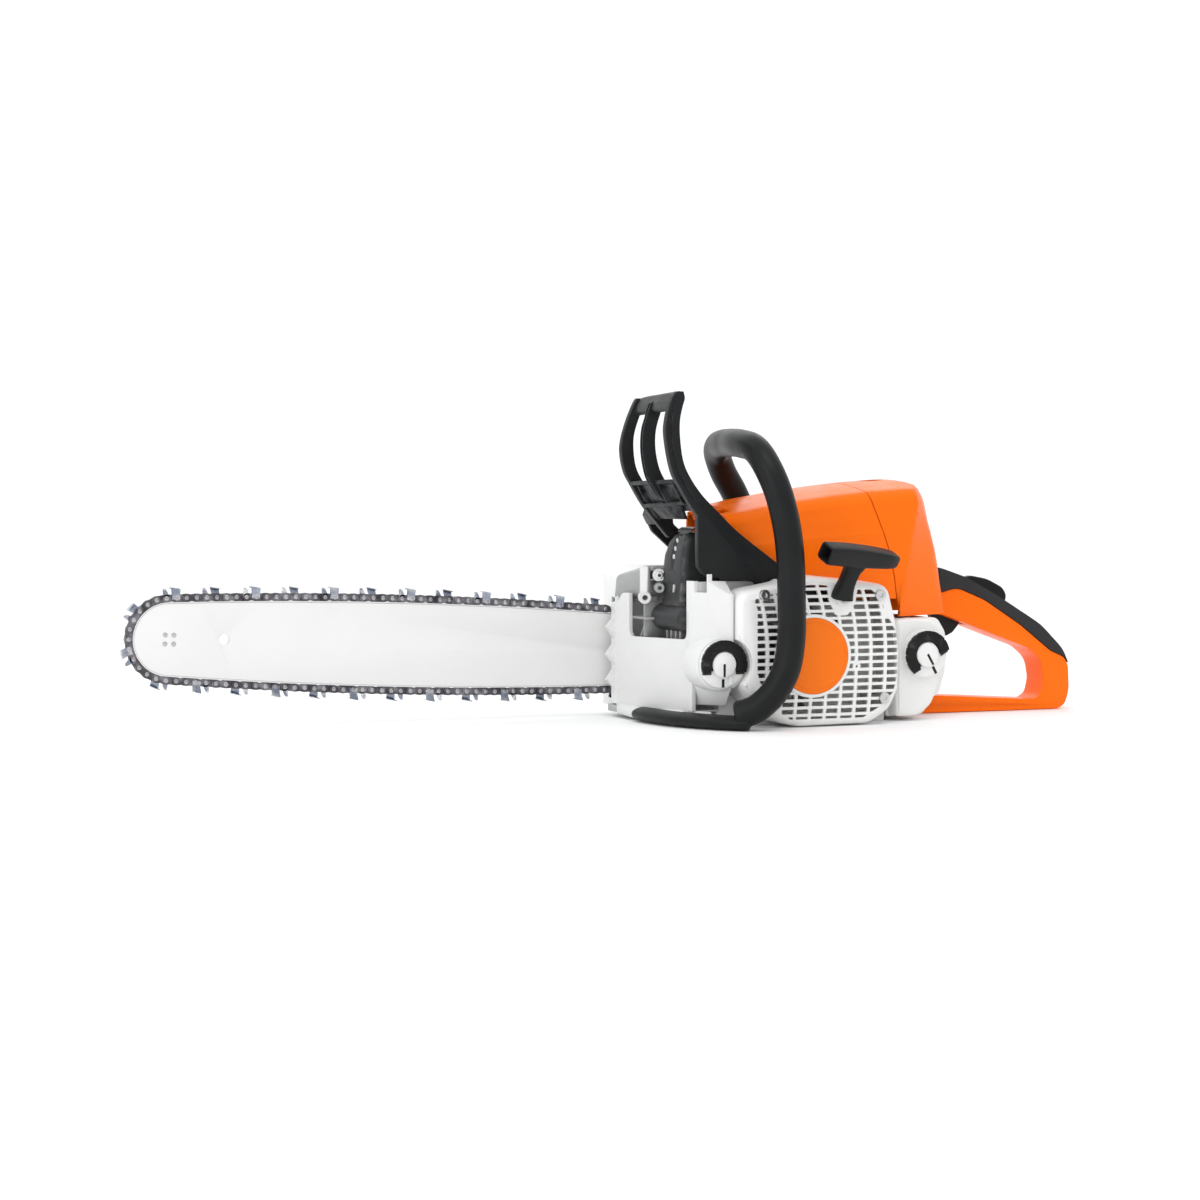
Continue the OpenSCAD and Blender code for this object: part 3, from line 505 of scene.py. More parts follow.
def cover_section(bottom):
    """The covers' outline across the saw, from the starter side over the top."""
    near = [(-61.3, z) for z in (bottom, 106, 118, 130, 142, 150, 154.6)]
    near += [(-61.15, 156.2), (-60.6, 157.6), (-60.3, 164), (-59.7, 172), (-59.1, 177.5)]
    near += [(-51.4 - 7.9 * math.cos(a), 179.6 + 9.4 * math.sin(a))
        for a in (math.radians(d) for d in range(0, 76, 15))]
    crown = [(-46, 190.2), (-38, 191.9), (-28, 193.6), (-17, 194.9), (-5, 195.5), (6, 195.4),
        (15, 194.6), (24, 192.9)]
    far = [(32.4 + 9.4 * math.cos(a), 180.5 + 9.6 * math.sin(a))
        for a in (math.radians(d) for d in range(75, -1, -15))]
    far += [(42, z) for z in (172, 160, 150, 140, 128, 116, bottom)]
    return near + crown + far


def top_scale(x, z):
    """Squeezes a height so that the cover follows the line of its top."""
    return SKIN_LOW + (z - SKIN_LOW) * (lerp(TOP_LINE, x) - SKIN_LOW) / (195.5 - SKIN_LOW)


def build_shroud():
    rows = []
    for y, z in cover_section(SKIN_LOW):
        front, back = lerp(SHROUD_FRONT, z), lerp(SEAM, z) - 0.9
        row = []
        for k in range(31):
            x = front + (back - front) * k / 30
            row.append((x, y, top_scale(x, z) if z > SKIN_LOW else z))
        rows.append(row)
    obj = thicken(grid_piece("top_cover", rows), 2.4, 1.0)
    slots = []
    for k in range(6):
        slots.append(brick("slot", (-34 + 13 * k, 30, 146 + k), (-27 + 13 * k, 60, 164 + k)))
    return shade(cut(obj, merge("slots", slots)))


def rear_x(y, z):
    """Where the rear cover ends for a place in its section."""
    crease = 97.6 + (z - 88) * 0.162 - max(0, z - 177) ** 2 * 0.05
    back = lerp(REAR_LINE, z)
    near = crease + (back + 2 - crease) * (y + 61.3) / 23.3
    far = 118 - (z - 88) * 0.05 + (42 - y) * 1.55
    soft = 3.5
    ways = [math.exp(-(v - back) / soft) for v in (near, far)]
    return back - soft * math.log(1 + sum(ways))


def build_carb_cover():
    section = cover_section(86.2)
    rows = []
    for y, z in section:
        start = lerp(SEAM, z)
        end = min(rear_x(y, z), lerp(REAR_LINE, z))
        row = []
        for k in range(14):
            x = start + (end - 0.9 - start) * k / 13
            row.append((x, y, top_scale(x, z) if z > SKIN_LOW else z))
        top = top_scale(end, z) if z > SKIN_LOW else z
        row.append((end - 0.25, y * 0.998 - 0.02, top - (0.15 if z > 185 else 0)))
        for k in range(1, 22):
            f = 1 - (k / 21) ** 1.15 if k > 1 else 1 - 0.018
            yy, zz = -8 + f * (y + 8), 86.2 + f * (z - 86.2)
            end = min(rear_x(yy, zz), lerp(REAR_LINE, zz))
            row.append((end, yy, top_scale(end, zz) if zz > SKIN_LOW else zz))
        rows.append(row)
    obj = thicken(grid_piece("rear_cover", rows), 2.4, 1.0)
    hole = lathe("hole", [(0, 0), (10.9, 0), (10.9, 40), (0, 40)], (100, -4, 170), (0, 0, 1))
    return shade(cut(obj, hole), 30)


# The far part of the front edge is set back, so that the guard's lower panel has room
shroud = cut(build_shroud(), brick("front", (-90, -46, 100), (-49, 70, 215)))
show(shroud, ORANGE, instead="shroud")
show(build_carb_cover(), ORANGE, instead="carb_cover")
tab = plate("cover_tab", rounded([(-80, 171.2), (-76, 171), (-74, 166.5), (-68, 166.5),
        (-46, 168), (-46, 176), (-66, 174.8), (-80, 173.4)], 0.8, 2),
    -31.6, -28.4)
show(soften(tab, 0.5, 2), ORANGE)
# ---- Starter cover with its grille ----

FAN = [(-59.5, 31), (-44, 11), (-28, 4), (-11, 0), (53, 1), (71, 12), (79, 28), (80, 61),
    (77, 84), (69, 114), (-4, 122), (-32, 115.5), (-66, 110), (-66.5, 60)]
FAN_ROUND = [14, 14, 20, 18, 22, 20, 20, 30, 20, 12, 50, 60, 12, 20]
FAN_FACE = -100
BADGE_AT = (0, 57.6)
GRILLE = [(-27, 11), (-20, 6.5), (46, 6.5), (61, 15), (73.5, 27), (76.7, 40), (76.7, 74),
    (69, 87), (64.5, 88), (63.5, 97), (59, 105.5), (53, 110.5), (6, 115), (-5, 115),
    (-53, 104.5), (-49.5, 96), (-49.5, 45), (-46, 34), (-38, 20)]
OIL_CAP = (-76, 52)
DIMPLE_AT = (39.4, 48.3)
SLOT_ROWS, SLOT_LOW, SLOT_STEP, SLOT_HIGH = 19, 4.9, 6.0, 3.7
SLOT_LEFT, SLOT_PITCH, SLOT_WIDE = -52.2, 13.25, 10.6
FUEL_CAP = (113.5, 55)
SCREWS = [(-46, 29), (-37, 11), (-22, 97)]


def lean(z):
    """How far the grille's upright ribs bend sideways."""
    return -8.5 * ((z - 60) / 52) ** 2 if z > 60 else -3 * ((60 - z) / 55) ** 2


def grille_cutter():
    """The slots of the grille, leaning with the cover and clear of its solid spots."""
    holes = []
    for row in range(SLOT_ROWS):
        low = SLOT_LOW + SLOT_STEP * row
        high = low + SLOT_HIGH
        for col in range(-1, 11):
            left = SLOT_LEFT + SLOT_PITCH * col
            loop = [(left + lean(low), low), (left + SLOT_WIDE + lean(low), low),
                (left + SLOT_WIDE + lean(high), high), (left + lean(high), high)]
            holes.append(plate("hole", rounded(loop, 0.5, 2), -104, -94))
    cutter = merge("holes", holes)
    combine(cutter, plate("region", rounded(GRILLE, 4), -110, -90), "INTERSECT")
    solid = [disc("zone", 33.4, -112, -88, BADGE_AT, 64),
        plate("zone", rounded([(20, 90), (31, 90), (38, 100), (41, 120), (12, 120),
            (14, 103)], 4), -112, -88),
        disc("zone", 3.4, -112, -88, DIMPLE_AT, 24)]
    solid += [disc("zone", 7, -112, -88, p, 24) for p in SCREWS]
    return cut(cutter, *solid)


def fan_ring(inward, y):
    """One loop of the starter cover, with its top rising away from the face."""
    lift = 1.6 * (y - FAN_FACE) / 38.5
    out = []
    for x, z in inset(FAN_LOOP, inward) if inward else FAN_LOOP:
        share = min(1, max(0, (z - 92) / 22))
        out.append((x, y, z + lift * share * share * (3 - 2 * share)))
    return out


FAN_LOOP = rounded(FAN, FAN_ROUND, 6)
rings = [fan_ring(4.6, -97.4), fan_ring(3.4, -95.6), fan_ring(2.6, -92.5),
    fan_ring(2.6, -61.6), fan_ring(0, -61.6), fan_ring(0, -75), fan_ring(0, -90),
    fan_ring(0.5, -94.5), fan_ring(1.5, -97.4), fan_ring(3, -99.2), fan_ring(5, -100)]
shell = capped_loft("starter_cover", rings)
cut(shell, grille_cutter(), disc("notch", 22.3, -110, -50, OIL_CAP, 64),
    plate("gap", [(-90, 102), (-8, 102), (-8, 140), (-90, 140)], -75.5, -50),
    disc("dimple", 1.1, -104, -90, DIMPLE_AT, 20))
soften(tidy_faces(shell, 0.2), 0.35, 2, 40)
notch_wall = lathe("notch_wall", [(22.3, 0), (24.6, 0), (24.6, 38), (22.3, 38), (22.3, 0)],
    (OIL_CAP[0], -99.6, OIL_CAP[1]), (0, 1, 0), 96)
combine(notch_wall, plate("trim", inset(FAN_LOOP, 0.4), -99.4, -61.8), "INTERSECT")
show(soften(notch_wall, 0.4, 2, 40), WHITE_PLASTIC)
show(shell, WHITE_PLASTIC, instead="fan_housing")

rim = lathe("badge_rim", [(31.1, 2.0), (31.1, 0.3), (31.5, 0), (32.9, 0), (33.6, 0.5),
        (33.9, 1.6), (33.9, 2.4), (31.1, 2.4), (31.1, 2.0)],
    (0, -101.6, BADGE_AT[1]), (0, 1, 0), 96)
show(shade(rim), WHITE_PLASTIC)
plate_face = lathe("round_plate", [(0, 0.25), (14, 0.3), (26, 0.42), (27.0, 0.5),
        (27.25, 0.75), (27.9, 0.75), (28.15, 0.5), (30.3, 0.62),
        (30.9, 1.0), (30.9, 2.2), (0, 2.2)],
    (0, -102.1, BADGE_AT[1]), (0, 1, 0), 96)
show(shade(plate_face, 50), BADGE_ORANGE, instead="badge")


# ---- Pieces that keep their CAD outline, with rounded edges ----

refine("sprocket_cover", WHITE_PLASTIC, width=2.0, segments=3)
refine("cover_nuts", ZINC, width=0.5)
refine("bar_studs", ZINC, width=0.6)
refine("bar_plate", STEEL, width=0.3)
refine("chain_catcher", CAST, width=0.8)
refine("control_lever", BLACK, "choke_lever", 0.8, 2)
refine("cover_lock", BLACK, "lock", 0.8, 3)
refine("tension_screw", ZINC, "tensioner", 0.3, 2)
refine("guard_pivots", ZINC, width=0.6, segments=3)
refine("housing_screws", ZINC, width=0.5, segments=2)

# ---- Fuel tank, rear handle and its controls ----

TANK = [(86, 3), (118, 3), (124, 8), (124, 16.3), (136, 20), (142, 40), (142, 72), (134, 84.5),
    (86, 84.5)]
FILLER = [(88, 4), (108, 4), (121, 13), (128, 30), (133, 56), (132, 72), (123, 84), (104, 85),
    (88, 84)]
tank = soften(plate("tank_body", rounded(TANK, [3, 6, 4, 3, 8, 12, 14, 8, 3], 5), -62, 40), 4, 5)
filler = soften(plate("tank_filler", rounded(FILLER, [4, 12, 16, 24, 30, 16, 12, 4, 4], 5),
        -76.5, -60), 3.2, 5)
neck = lathe("tank_neck", [(16.6, 0), (20, 0), (20.8, 0.8), (21, 2), (22.6, 4), (22.6, 10),
        (16.6, 10), (16.6, 0)], (FUEL_CAP[0], -77.2, FUEL_CAP[1]),
    (0, 1, 0), 64)
ribs = [soften(plate("rib", rounded([(90, 8), (92.4, 8), (92.4, 78), (90, 78)], 0.8, 2),
        -77.3, -74), 0.5, 2)]
cut(filler, disc("mouth", 16.6, -90, -40, FUEL_CAP, 48))
cut(tank, disc("mouth", 16.6, -90, -58, FUEL_CAP, 48))
show(merge("fuel_tank_shell", [tank, shade(filler), shade(neck)] + ribs), WHITE_PLASTIC,
    instead="fuel_tank")

LEVER_SLOT = [(184, 94), (238, 70), (238, 130), (184, 130)]
HANDLE = [(124.5, 0.3), (278, 0.3), (285, 4), (289, 16), (288, 38), (284, 45), (270, 51),
    (240, 74), (205, 96), (178, 107), (163, 103), (149.5, 103), (153.4, 85), (165, 84),
    (179, 79), (220, 64), (248, 54), (261, 43), (264, 26), (261, 13), (254, 9),
    (159, 15), (124.5, 16)]
HANDLE_ROUND = [1, 10, 16, 30, 20, 12, 16, 60, 60, 20, 6, 1, 1, 20, 20, 60, 30, 20, 20, 12, 6,
    30, 1]
loop = plate("rear_handle_loop", rounded(HANDLE, HANDLE_ROUND, 6), -15, 15)
soften(loop, 4.3, 5, 30)
cut(loop, brick("slot", (154, -5.5, 60), (192, 5.5, 101.5)),
    plate("slot", LEVER_SLOT, -4.6, 4.6))
seam = plate("seam", [(128, 7.6), (250, 4.4), (250, 4.8), (128, 8.0)], -15.3, -14.7)
show(shade(tidy_faces(cut(loop, seam), 0.1), 40), ORANGE,
    instead="rear_handle")
INSERT = [(149.6, 103.3), (163, 103.3), (178, 107.3), (205, 96.4), (240, 74.4), (270, 51.4),
    (284, 45.4), (288.3, 38.5), (282.5, 52), (260, 74), (220, 98), (186, 116),
    (159, 125), (145.6, 125), (147, 115)]
INSERT_ROUND = [1, 6, 20, 60, 60, 16, 12, 1, 40, 60, 80, 60, 60, 6, 20]
pad = plate("rear_handle_pad", rounded(INSERT, INSERT_ROUND, 6), -15.7, 15.7)
soften(pad, 4.6, 5, 30)
cut(pad, plate("slot", LEVER_SLOT, -4.6, 4.6))
show(shade(pad, 40), GRIP_RUBBER, instead="handle_insert")
TRIGGER = [(157, 87), (163, 76), (170, 66), (174, 65), (180, 68), (186, 75), (188, 82),
    (185, 89), (164, 95), (158, 94)]
trigger = plate("trigger_lever", rounded(TRIGGER, [3, 20, 6, 4, 8, 8, 8, 6, 4, 3], 4), -5, 5)
trigger = merge("trigger_lever", [soften(trigger, 1.8, 3), disc("pin", 2.45, -7.8, 7.8,
        (160, 92), 24)])
show(shade(trigger), BLACK, "trigger", "throttle_trigger")
LOCK = [(188, 104), (204, 98), (226, 86), (231, 92), (233, 99), (229, 106), (214, 113.5),
    (196, 117), (189, 112)]
lock = plate("lockout_lever", rounded(LOCK, [4, 30, 6, 4, 8, 12, 30, 12, 6], 4), -4.2, 4.2)
lock = merge("lockout_lever", [soften(lock, 1.6, 3), disc("pin", 2.45, -7.8, 7.8,
        (192, 106), 24)])
show(shade(lock), BLACK, "lockout", "throttle_lockout")


# ---- Guide bar and chain ----

TILT = math.radians(2.5)
BAR_Z, BAR_Y = 51.6, 62
BAR_REACH, NOSE_R, BAR_HALF, BAR_MID, RAIL_START = 491, 29.5, 34.5, 290, 64
STRAP_H, CUTTER_H, RAIL_R = 6.8, 5.2, 15.4


def on_bar(u, v):
    """A place in the bar's own plane, as (x, z)."""
    return (u * math.cos(TILT) + v * math.sin(TILT),
        BAR_Z - u * math.sin(TILT) + v * math.cos(TILT))


def bar_half(u):
    """The bar's half width at a place along it."""
    return BAR_HALF - (BAR_HALF - NOSE_R) * ((u - BAR_MID) / (BAR_REACH - BAR_MID)) ** 2


def bar_run(d, steps=40):
    us = [RAIL_START + (BAR_REACH - RAIL_START) * i / steps for i in range(steps + 1)]
    low = [(-u, -bar_half(u) - d) for u in us]
    nose = []
    for k in range(1, 35):
        a = math.radians(-90 + 180 * k / 35)
        nose.append((-BAR_REACH - (NOSE_R + d) * math.cos(a), (NOSE_R + d) * math.sin(a)))
    return low, nose, [(u, -v) for u, v in low[::-1]]


def chain_loop(d):
    """The closed path round the bar and the drum, at a distance from the rail."""
    rear = [(0.0 + (RAIL_R + d) * math.cos(math.radians(a)),
            4.4 + (RAIL_R + d) * math.sin(math.radians(a))) for a in range(100, -101, -5)]
    low, nose, high = bar_run(d)
    return rear + low + nose + high


def bar_blade(name, y0, y1):
    low, nose, high = bar_run(-0.02)
    outline = [on_bar(*p) for p in [(38, -18)] + low + nose + high + [(38, 18)]]
    obj = plate(name, outline, y0, y1)
    slot_low, slot_high = on_bar(-104, 0), on_bar(-56, 0)
    tools = [disc("hole", r, y0 - 2, y1 + 2, on_bar(u, v), 32)
        for u, v, r in ((-104, 0, 4.2), (-56, 0, 4.2), (-64, 19, 3), (-64, -19, 3),
            (-446, 1, 4.3))]
    way = Vector((slot_high[0] - slot_low[0], slot_high[1] - slot_low[1])).normalized() * 4.2
    tools.append(plate("slot", [(slot_low[0] + way.y, slot_low[1] - way.x),
            (slot_high[0] + way.y, slot_high[1] - way.x),
            (slot_high[0] - way.y, slot_high[1] + way.x),
            (slot_low[0] - way.y, slot_low[1] + way.x)], y0 - 2, y1 + 2))
    return cut(obj, *tools)


blades = merge("bar_sides", [bar_blade("near_blade", 60.0, 61.1),
        bar_blade("far_blade", 62.9, 64.0)])
show(soften(blades, 0.25, 2, 40), BAR_WHITE, instead="guide_bar")
rails = []
for y in (60.0, 62.9):
    low, nose, high = bar_run(0.16)
    low2, nose2, high2 = bar_run(-1.1)
    outer = [on_bar(*p) for p in low + nose + high]
    inner = [on_bar(*p) for p in low2 + nose2 + high2]
    n = len(outer)
    rows = [[(x, yy, z) for x, z in loop] for loop, yy in
        ((inner, y - 0.07), (outer, y + 0.1), (outer, y + 1.0), (inner, y + 1.17))]
    rails.append(grid_piece("rail", rows))
show(shade(merge("bar_rails", rails), 50), STEEL)
rivets = []
for a in range(45, 360, 90):
    u, v = -BAR_REACH + 5 * math.cos(math.radians(a)), 5 * math.sin(math.radians(a))
    x, z = on_bar(u, v)
    rivets.append(lathe("rivet", [(0, -0.3), (1.6, -0.22), (2, 0), (2, 4), (1.6, 4.22),
            (0, 4.3)], (x, 60, z), (0, 1, 0), 20))
show(shade(merge("bar_rivets", rivets)), STEEL)

pitch_line = [Vector(p) for p in chain_loop(STRAP_H / 2)]
spans = [(b - a).length for a, b in zip(pitch_line, pitch_line[1:] + pitch_line[:1])]
LOOP = sum(spans)
JOINTS = 2 * round(LOOP / (2 * 8.255))


def rivet_place(k):
    """Place of one chain rivet, counted round the loop."""
    s = (k % JOINTS) * LOOP / JOINTS
    for i, length in enumerate(spans):
        if s <= length:
            a, b = pitch_line[i], pitch_line[(i + 1) % len(pitch_line)]
            return a + (b - a) * (s / length)
        s -= length
    return pitch_line[0]


def link_solid(k, y0, y1, local):
    """A flat plate between rivets k and k + 1, drawn in its own axes."""
    a, b = rivet_place(k), rivet_place(k + 1)
    t = (b - a).normalized()
    mid = (a + b) / 2
    out = []
    for u, v in local:
        p = mid + t * u + Vector((-t.y, t.x)) * v
        out.append(on_bar(p.x, p.y))
    return plate("link", out, y0, y1), mid, t


P = LOOP / JOINTS / 2
EYE = 3.35
STRAP = []
for cx, first in ((P, -100), (-P, 80)):
    for a in range(first, first + 201, 25):
        STRAP.append((cx + EYE * math.cos(math.radians(a)),
                EYE * math.sin(math.radians(a)) * 1.0))
    STRAP.append((0, 2.7 if cx > 0 else -2.6))
CENTRE = STRAP[:9] + [(0, 2.9)] + STRAP[10:19] + [(-1.6, -6.6), (0.6, -7.4), (2.2, -5.6)]
GAUGE = [(-P - 2.6, 1.0), (-P + 2.2, 1.2), (-P + 1.0, 4.6), (-P - 0.6, 7.2), (-P - 2.2, 7.8),
    (-P - 3.0, 7.0)]
straps, centres, pins, blades = [], [], [], []
for k in range(JOINTS):
    if k % 2:
        centres.append(link_solid(k, BAR_Y - 0.62, BAR_Y + 0.62, CENTRE)[0])
    else:
        for side in (-1, 1):
            low, high = sorted((BAR_Y + side * 0.75, BAR_Y + side * 1.95))
            straps.append(link_solid(k, low, high, STRAP)[0])
    x, z = on_bar(*rivet_place(k))
    pins.append(lathe("pin", [(0, 0), (1.2, 0.04), (1.75, 0.35), (1.9, 0.75), (1.9, 4.45),
            (1.75, 4.85), (1.2, 5.16), (0, 5.2)], (x, BAR_Y - 2.6, z),
            (0, 1, 0), 12))
    if k % 4 == 0:
        side = -1 if k % 8 == 0 else 1
        gauge, mid, t = link_solid(k, *sorted((BAR_Y + side * 0.75, BAR_Y + side * 1.95)),
            GAUGE)
        blades.append(gauge)
        rows = []
        for u, drop in ((-0.5, 0.0), (3.2, 0.55), (6.9, 1.15)):
            top = STRAP_H / 2 + CUTTER_H - drop
            section = [(0.75, -1.2), (1.95, -1.2), (2.1, 3.4), (3.5, top - 1.1),
                (3.45, top), (-1.1, top - 0.1), (-1.1, top - 0.85), (2.35, top - 1.3),
                (1.1, 3.2)]
            row = []
            for w, v in section:
                slant = u - (0.9 if w < 0 and u < 0 else 0) + (0.7 if v < 3.5 and u < 0 else 0)
                p = mid + t * slant + Vector((-t.y, t.x)) * v
                x, z = on_bar(p.x, p.y)
                row.append((x, BAR_Y + side * w, z))
            rows.append(row)
        blades.append(capped_loft("cutter", rows))
show(soften(merge("chain_straps", straps), 0.22, 1, 60), CHAIN_STEEL,
    instead="saw_chain")
show(shade(merge("chain_drive_links", centres)), CHAIN_STEEL)
show(shade(merge("chain_rivets", pins)), RIVET_STEEL)
show(soften(merge("chain_cutters", blades), 0.15, 1, 50), CUTTER_STEEL)


# ---- Hand guard ----

GUARD_PIVOT = (-23, 113)
NEAR_FRONT = [(-90, 171), (-98, 181.5), (-105, 193), (-111.5, 204), (-115.5, 218.5),
    (-118.2, 236), (-117.8, 246), (-115, 259), (-112, 266.5)]
NEAR_BACK = [(-103, 270.6), (-101.8, 265), (-103.8, 258), (-105.9, 248), (-106, 235),
    (-103.4, 216), (-97.5, 202.5), (-86.5, 187.5), (-72, 173.5), (-54, 157),
    (-21, 133)]


def smooth_outline(points, steps=4):
    return [tuple(p) for p in smooth_path([(x, z, 0) for x, z in points], steps)]


front = [(p[0], p[1]) for p in smooth_outline(NEAR_FRONT)]
back = [(p[0], p[1]) for p in smooth_outline(NEAR_BACK)]
foot_edge = [(-14.5, 126), (-13, 118), (-14.5, 109.5), (-23, 104.6), (-30, 106.5),
    (-39, 117), (-66, 120), (-80, 121.3), (-86, 124.5), (-89.6, 130), (-90, 137)]
near = plate("guard_near", front + [(-108.5, 270.6)] + back + foot_edge, -74, -67)
pairs = list(zip(front[4:-2], [min(back, key=lambda q: (q[0] - p[0] - 11) ** 2
        + (q[1] - p[1]) ** 2) for p in front[4:-2]]))
left = [(a[0] + (b[0] - a[0]) * 0.30, a[1] + (b[1] - a[1]) * 0.30) for a, b in pairs]
right = [(a[0] + (b[0] - a[0]) * 0.40, a[1] + (b[1] - a[1]) * 0.40) for a, b in pairs]
cut(near, plate("groove", left + right[::-1], -76, -73.3),
    disc("hole", 4.1, -80, -60, GUARD_PIVOT, 32))
soften(tidy_faces(near, 0.3), 1.5, 3, 40)

FAR_FRONT = [(-74, 151), (-79, 156), (-97, 177.5), (-109.2, 197), (-114, 206),
    (-117, 219), (-116.8, 231), (-112, 248), (-106, 262), (-103, 267)]
FAR_BACK = [(-95, 266.5), (-99.5, 256), (-105.2, 240), (-106.6, 228), (-105, 213),
    (-101, 203), (-92, 190), (-84, 179), (-72, 165), (-66, 157)]
far = plate("guard_far", [(p[0], p[1]) for p in smooth_outline(FAR_FRONT, 4)]
    + [(p[0], p[1]) for p in smooth_outline(FAR_BACK, 4)], 21, 28)
soften(far, 1.2, 2, 40)
MID = [(-94.5, 181), (-102, 184.5), (-110.4, 195.5), (-115, 204), (-118.4, 222), (-118, 239),
    (-115, 250), (-111, 262), (-104, 266)]
MID_BACK = [(-99.5, 262), (-106, 243), (-107.2, 228), (-105, 214), (-101, 203.5), (-92, 190),
    (-88, 184)]
middle = plate("guard_middle", [(p[0], p[1]) for p in smooth_outline(MID, 4)]
    + [(p[0], p[1]) for p in smooth_outline(MID_BACK, 4)], -26.5, -20.5)
line = [(p[0] - 1.5, p[1]) for p in smooth_outline(MID[1:-1], 4)]
seat = [(p[0] + 1.4, p[1]) for p in smooth_outline(MID[1:-1], 4)]
cut(middle, plate("groove", line + seat[::-1], -24.6, -22.4))
soften(tidy_faces(middle, 0.3), 0.6, 2, 40)

rows = []
for y, lift, shift in ((-72, 0, 0), (-50, -0.6, 1.5), (-23, -1.5, 4), (5, -2.2, 7), (24, -3, 9.6)):
    loop = [(-113.5, 254.5), (-109, 256.5), (-104.5, 259.5), (-101.6, 264), (-102.5, 269.4),
        (-106, 271), (-110, 269.5), (-113.6, 263.5), (-115, 258)]
    rows.append([(x + shift, y, z + lift) for x, z in rounded(loop, 1.5, 3)])
bridge = shade(capped_loft("guard_top", rows))


def cross_rib(name, x0, z0, x1, z1, tall, deep):
    """A shelf across the guard between its two arms."""
    rows = []
    for y, x, z in ((-68, x0, z0), (24, x1, z1)):
        rows.append([(x - deep / 2, y, z - tall / 2), (x + deep / 2, y, z - tall / 2 - 1),
                (x + deep / 2, y, z + tall / 2 - 1), (x - deep / 2, y, z + tall / 2)])
    return soften(capped_loft(name, rows), 0.5, 2)


shelves = [cross_rib("shelf", -101.5, 199, -104.5, 196.5, 3.2, 10),
    cross_rib("shelf", -91, 181.5, -93.5, 178, 3.0, 9)]
walls = [prism("wall", [(-103.2, -68, 200), (-101.2, -68, 200), (-84.5, -68, 176),
        (-86.5, -68, 175)],
        [(-105.2, 24, 197), (-103.2, 24, 197), (-86.5, 24, 173), (-88.5, 24, 172)]),
    prism("wall", [(-94, -46, 180.5), (-91.6, -46, 180.5), (-82.4, -36, 167.5),
        (-85.4, -36, 167.5)],
        [(-95.6, 22, 177.5), (-93, 22, 177.5), (-82.8, 22, 167), (-85.8, 22, 167)])]
for y in (-61, -29.5, -18.5, 14.5):
    walls.append(plate("rib", [(-108.2, 198), (-104, 199), (-88, 179), (-93.5, 178.5),
            (-99.5, 182)], y - 0.8, y + 0.8))
for y in (14.5, 18.5):
    walls.append(plate("rib", [(-97, 179), (-92, 179), (-82, 167), (-85, 165.6),
            (-88, 168)], y - 0.8, y + 0.8))
frame_parts = [soften(w, 0.3, 1) for w in walls]
far_low = [plate("arm", rounded([(-23, 104), (-15, 108), (-13, 118), (-22, 130), (-68, 168),
        (-72, 180), (-84, 180), (-86, 168), (-80, 156), (-34, 116)],
        3), 43.5, 48.5),
    plate("knee", rounded([(-70, 162), (-72, 180), (-84, 180), (-88, 170), (-84, 162)],
        2), 21.5, 48)]
cut(far_low[0], disc("hole", 4.1, 30, 60, GUARD_PIVOT, 32))
far_low = [soften(p, 1.0, 2) for p in far_low]
guard = merge("front_hand_guard", [near, far, middle, bridge] + shelves + frame_parts
    + far_low)
show(guard, CHARCOAL, "guard", "hand_guard")


# ---- Front handle ----

HANDLE_PATH = [
    (-70, -105.5, 12), (-62, -111, 15), (-54, -115.5, 20), (-43, -119.5, 32),
    (-34, -121.5, 50), (-30, -122, 75), (-30, -122, 104), (-31, -122, 136), (-34, -121, 163),
    (-40, -118, 190), (-46, -108, 212), (-48, -90, 225), (-46.5, -62, 229), (-41, -35, 230),
    (-33.5, 0, 230), (-27.5, 26, 228), (-21, 43, 221), (-11, 52, 205), (0, 54, 188),
    (8.5, 54, 168), (11, 54, 142), (10, 54, 109)]
HANDLE_FOOT = [(-60, -111, 0), (-70, -104, 0), (-85, -83, 0), (-95, -60, 0), (-101, -38, 0),
    (-104, -12, 0), (-104, 10, 0)]


def handle_skin(share, angle):
    """A little fuller where the hand holds it, with a flattened rib along the sides."""
    full = 1 + 0.012 * math.cos(angle * 2)
    end = min(share, 1 - share) / 0.012
    return full * (min(1, 0.86 + 0.14 * math.sqrt(min(1, end))) if end < 1 else 1)


handle = tube("front_handle_tube", smooth_path(HANDLE_PATH, 7), 11.4, 36, handle_skin)
foot = tube("foot", smooth_path(HANDLE_FOOT, 6), 11.2, 28,
    lambda s, a: math.sqrt(min(1, 0.25 + min(s, 1 - s) / 0.05)))
for v in foot.data.vertices:
    v.co.z = 0.0061 + v.co.z * 0.52
show(shade(merge("front_handle_tube", [handle, foot]), 60), HANDLE_SKIN,
    instead="front_handle")
collar = lathe("handle_mount", [(11.6, 0), (15.4, 0), (16, 0.8), (15.6, 9), (14.4, 10.4),
        (11.7, 10.8)], (10, 54, 109.5), (0, 0, 1), 40)
show(shade(collar), CHARCOAL)

# ---- Starter grip and rope ----

GRIP_AT = Vector((27, -100, 104))
GRIP_WAY = (Matrix.Rotation(math.radians(7), 3, "Y") @ Matrix.Rotation(math.radians(27), 3, "X"))


def on_grip(p):
    q = GRIP_WAY @ Vector(p)
    return GRIP_AT + q


def grip_point(x, y, z, tilt=5.5):
    """A place on the cross bar of the grip."""
    q = Matrix.Rotation(math.radians(tilt), 3, "Y") @ Vector((x, y * 1.22, z))
    q = Matrix.Rotation(math.radians(15), 3, "Z") @ q
    return on_grip(q + Vector((0, 0, 39)))


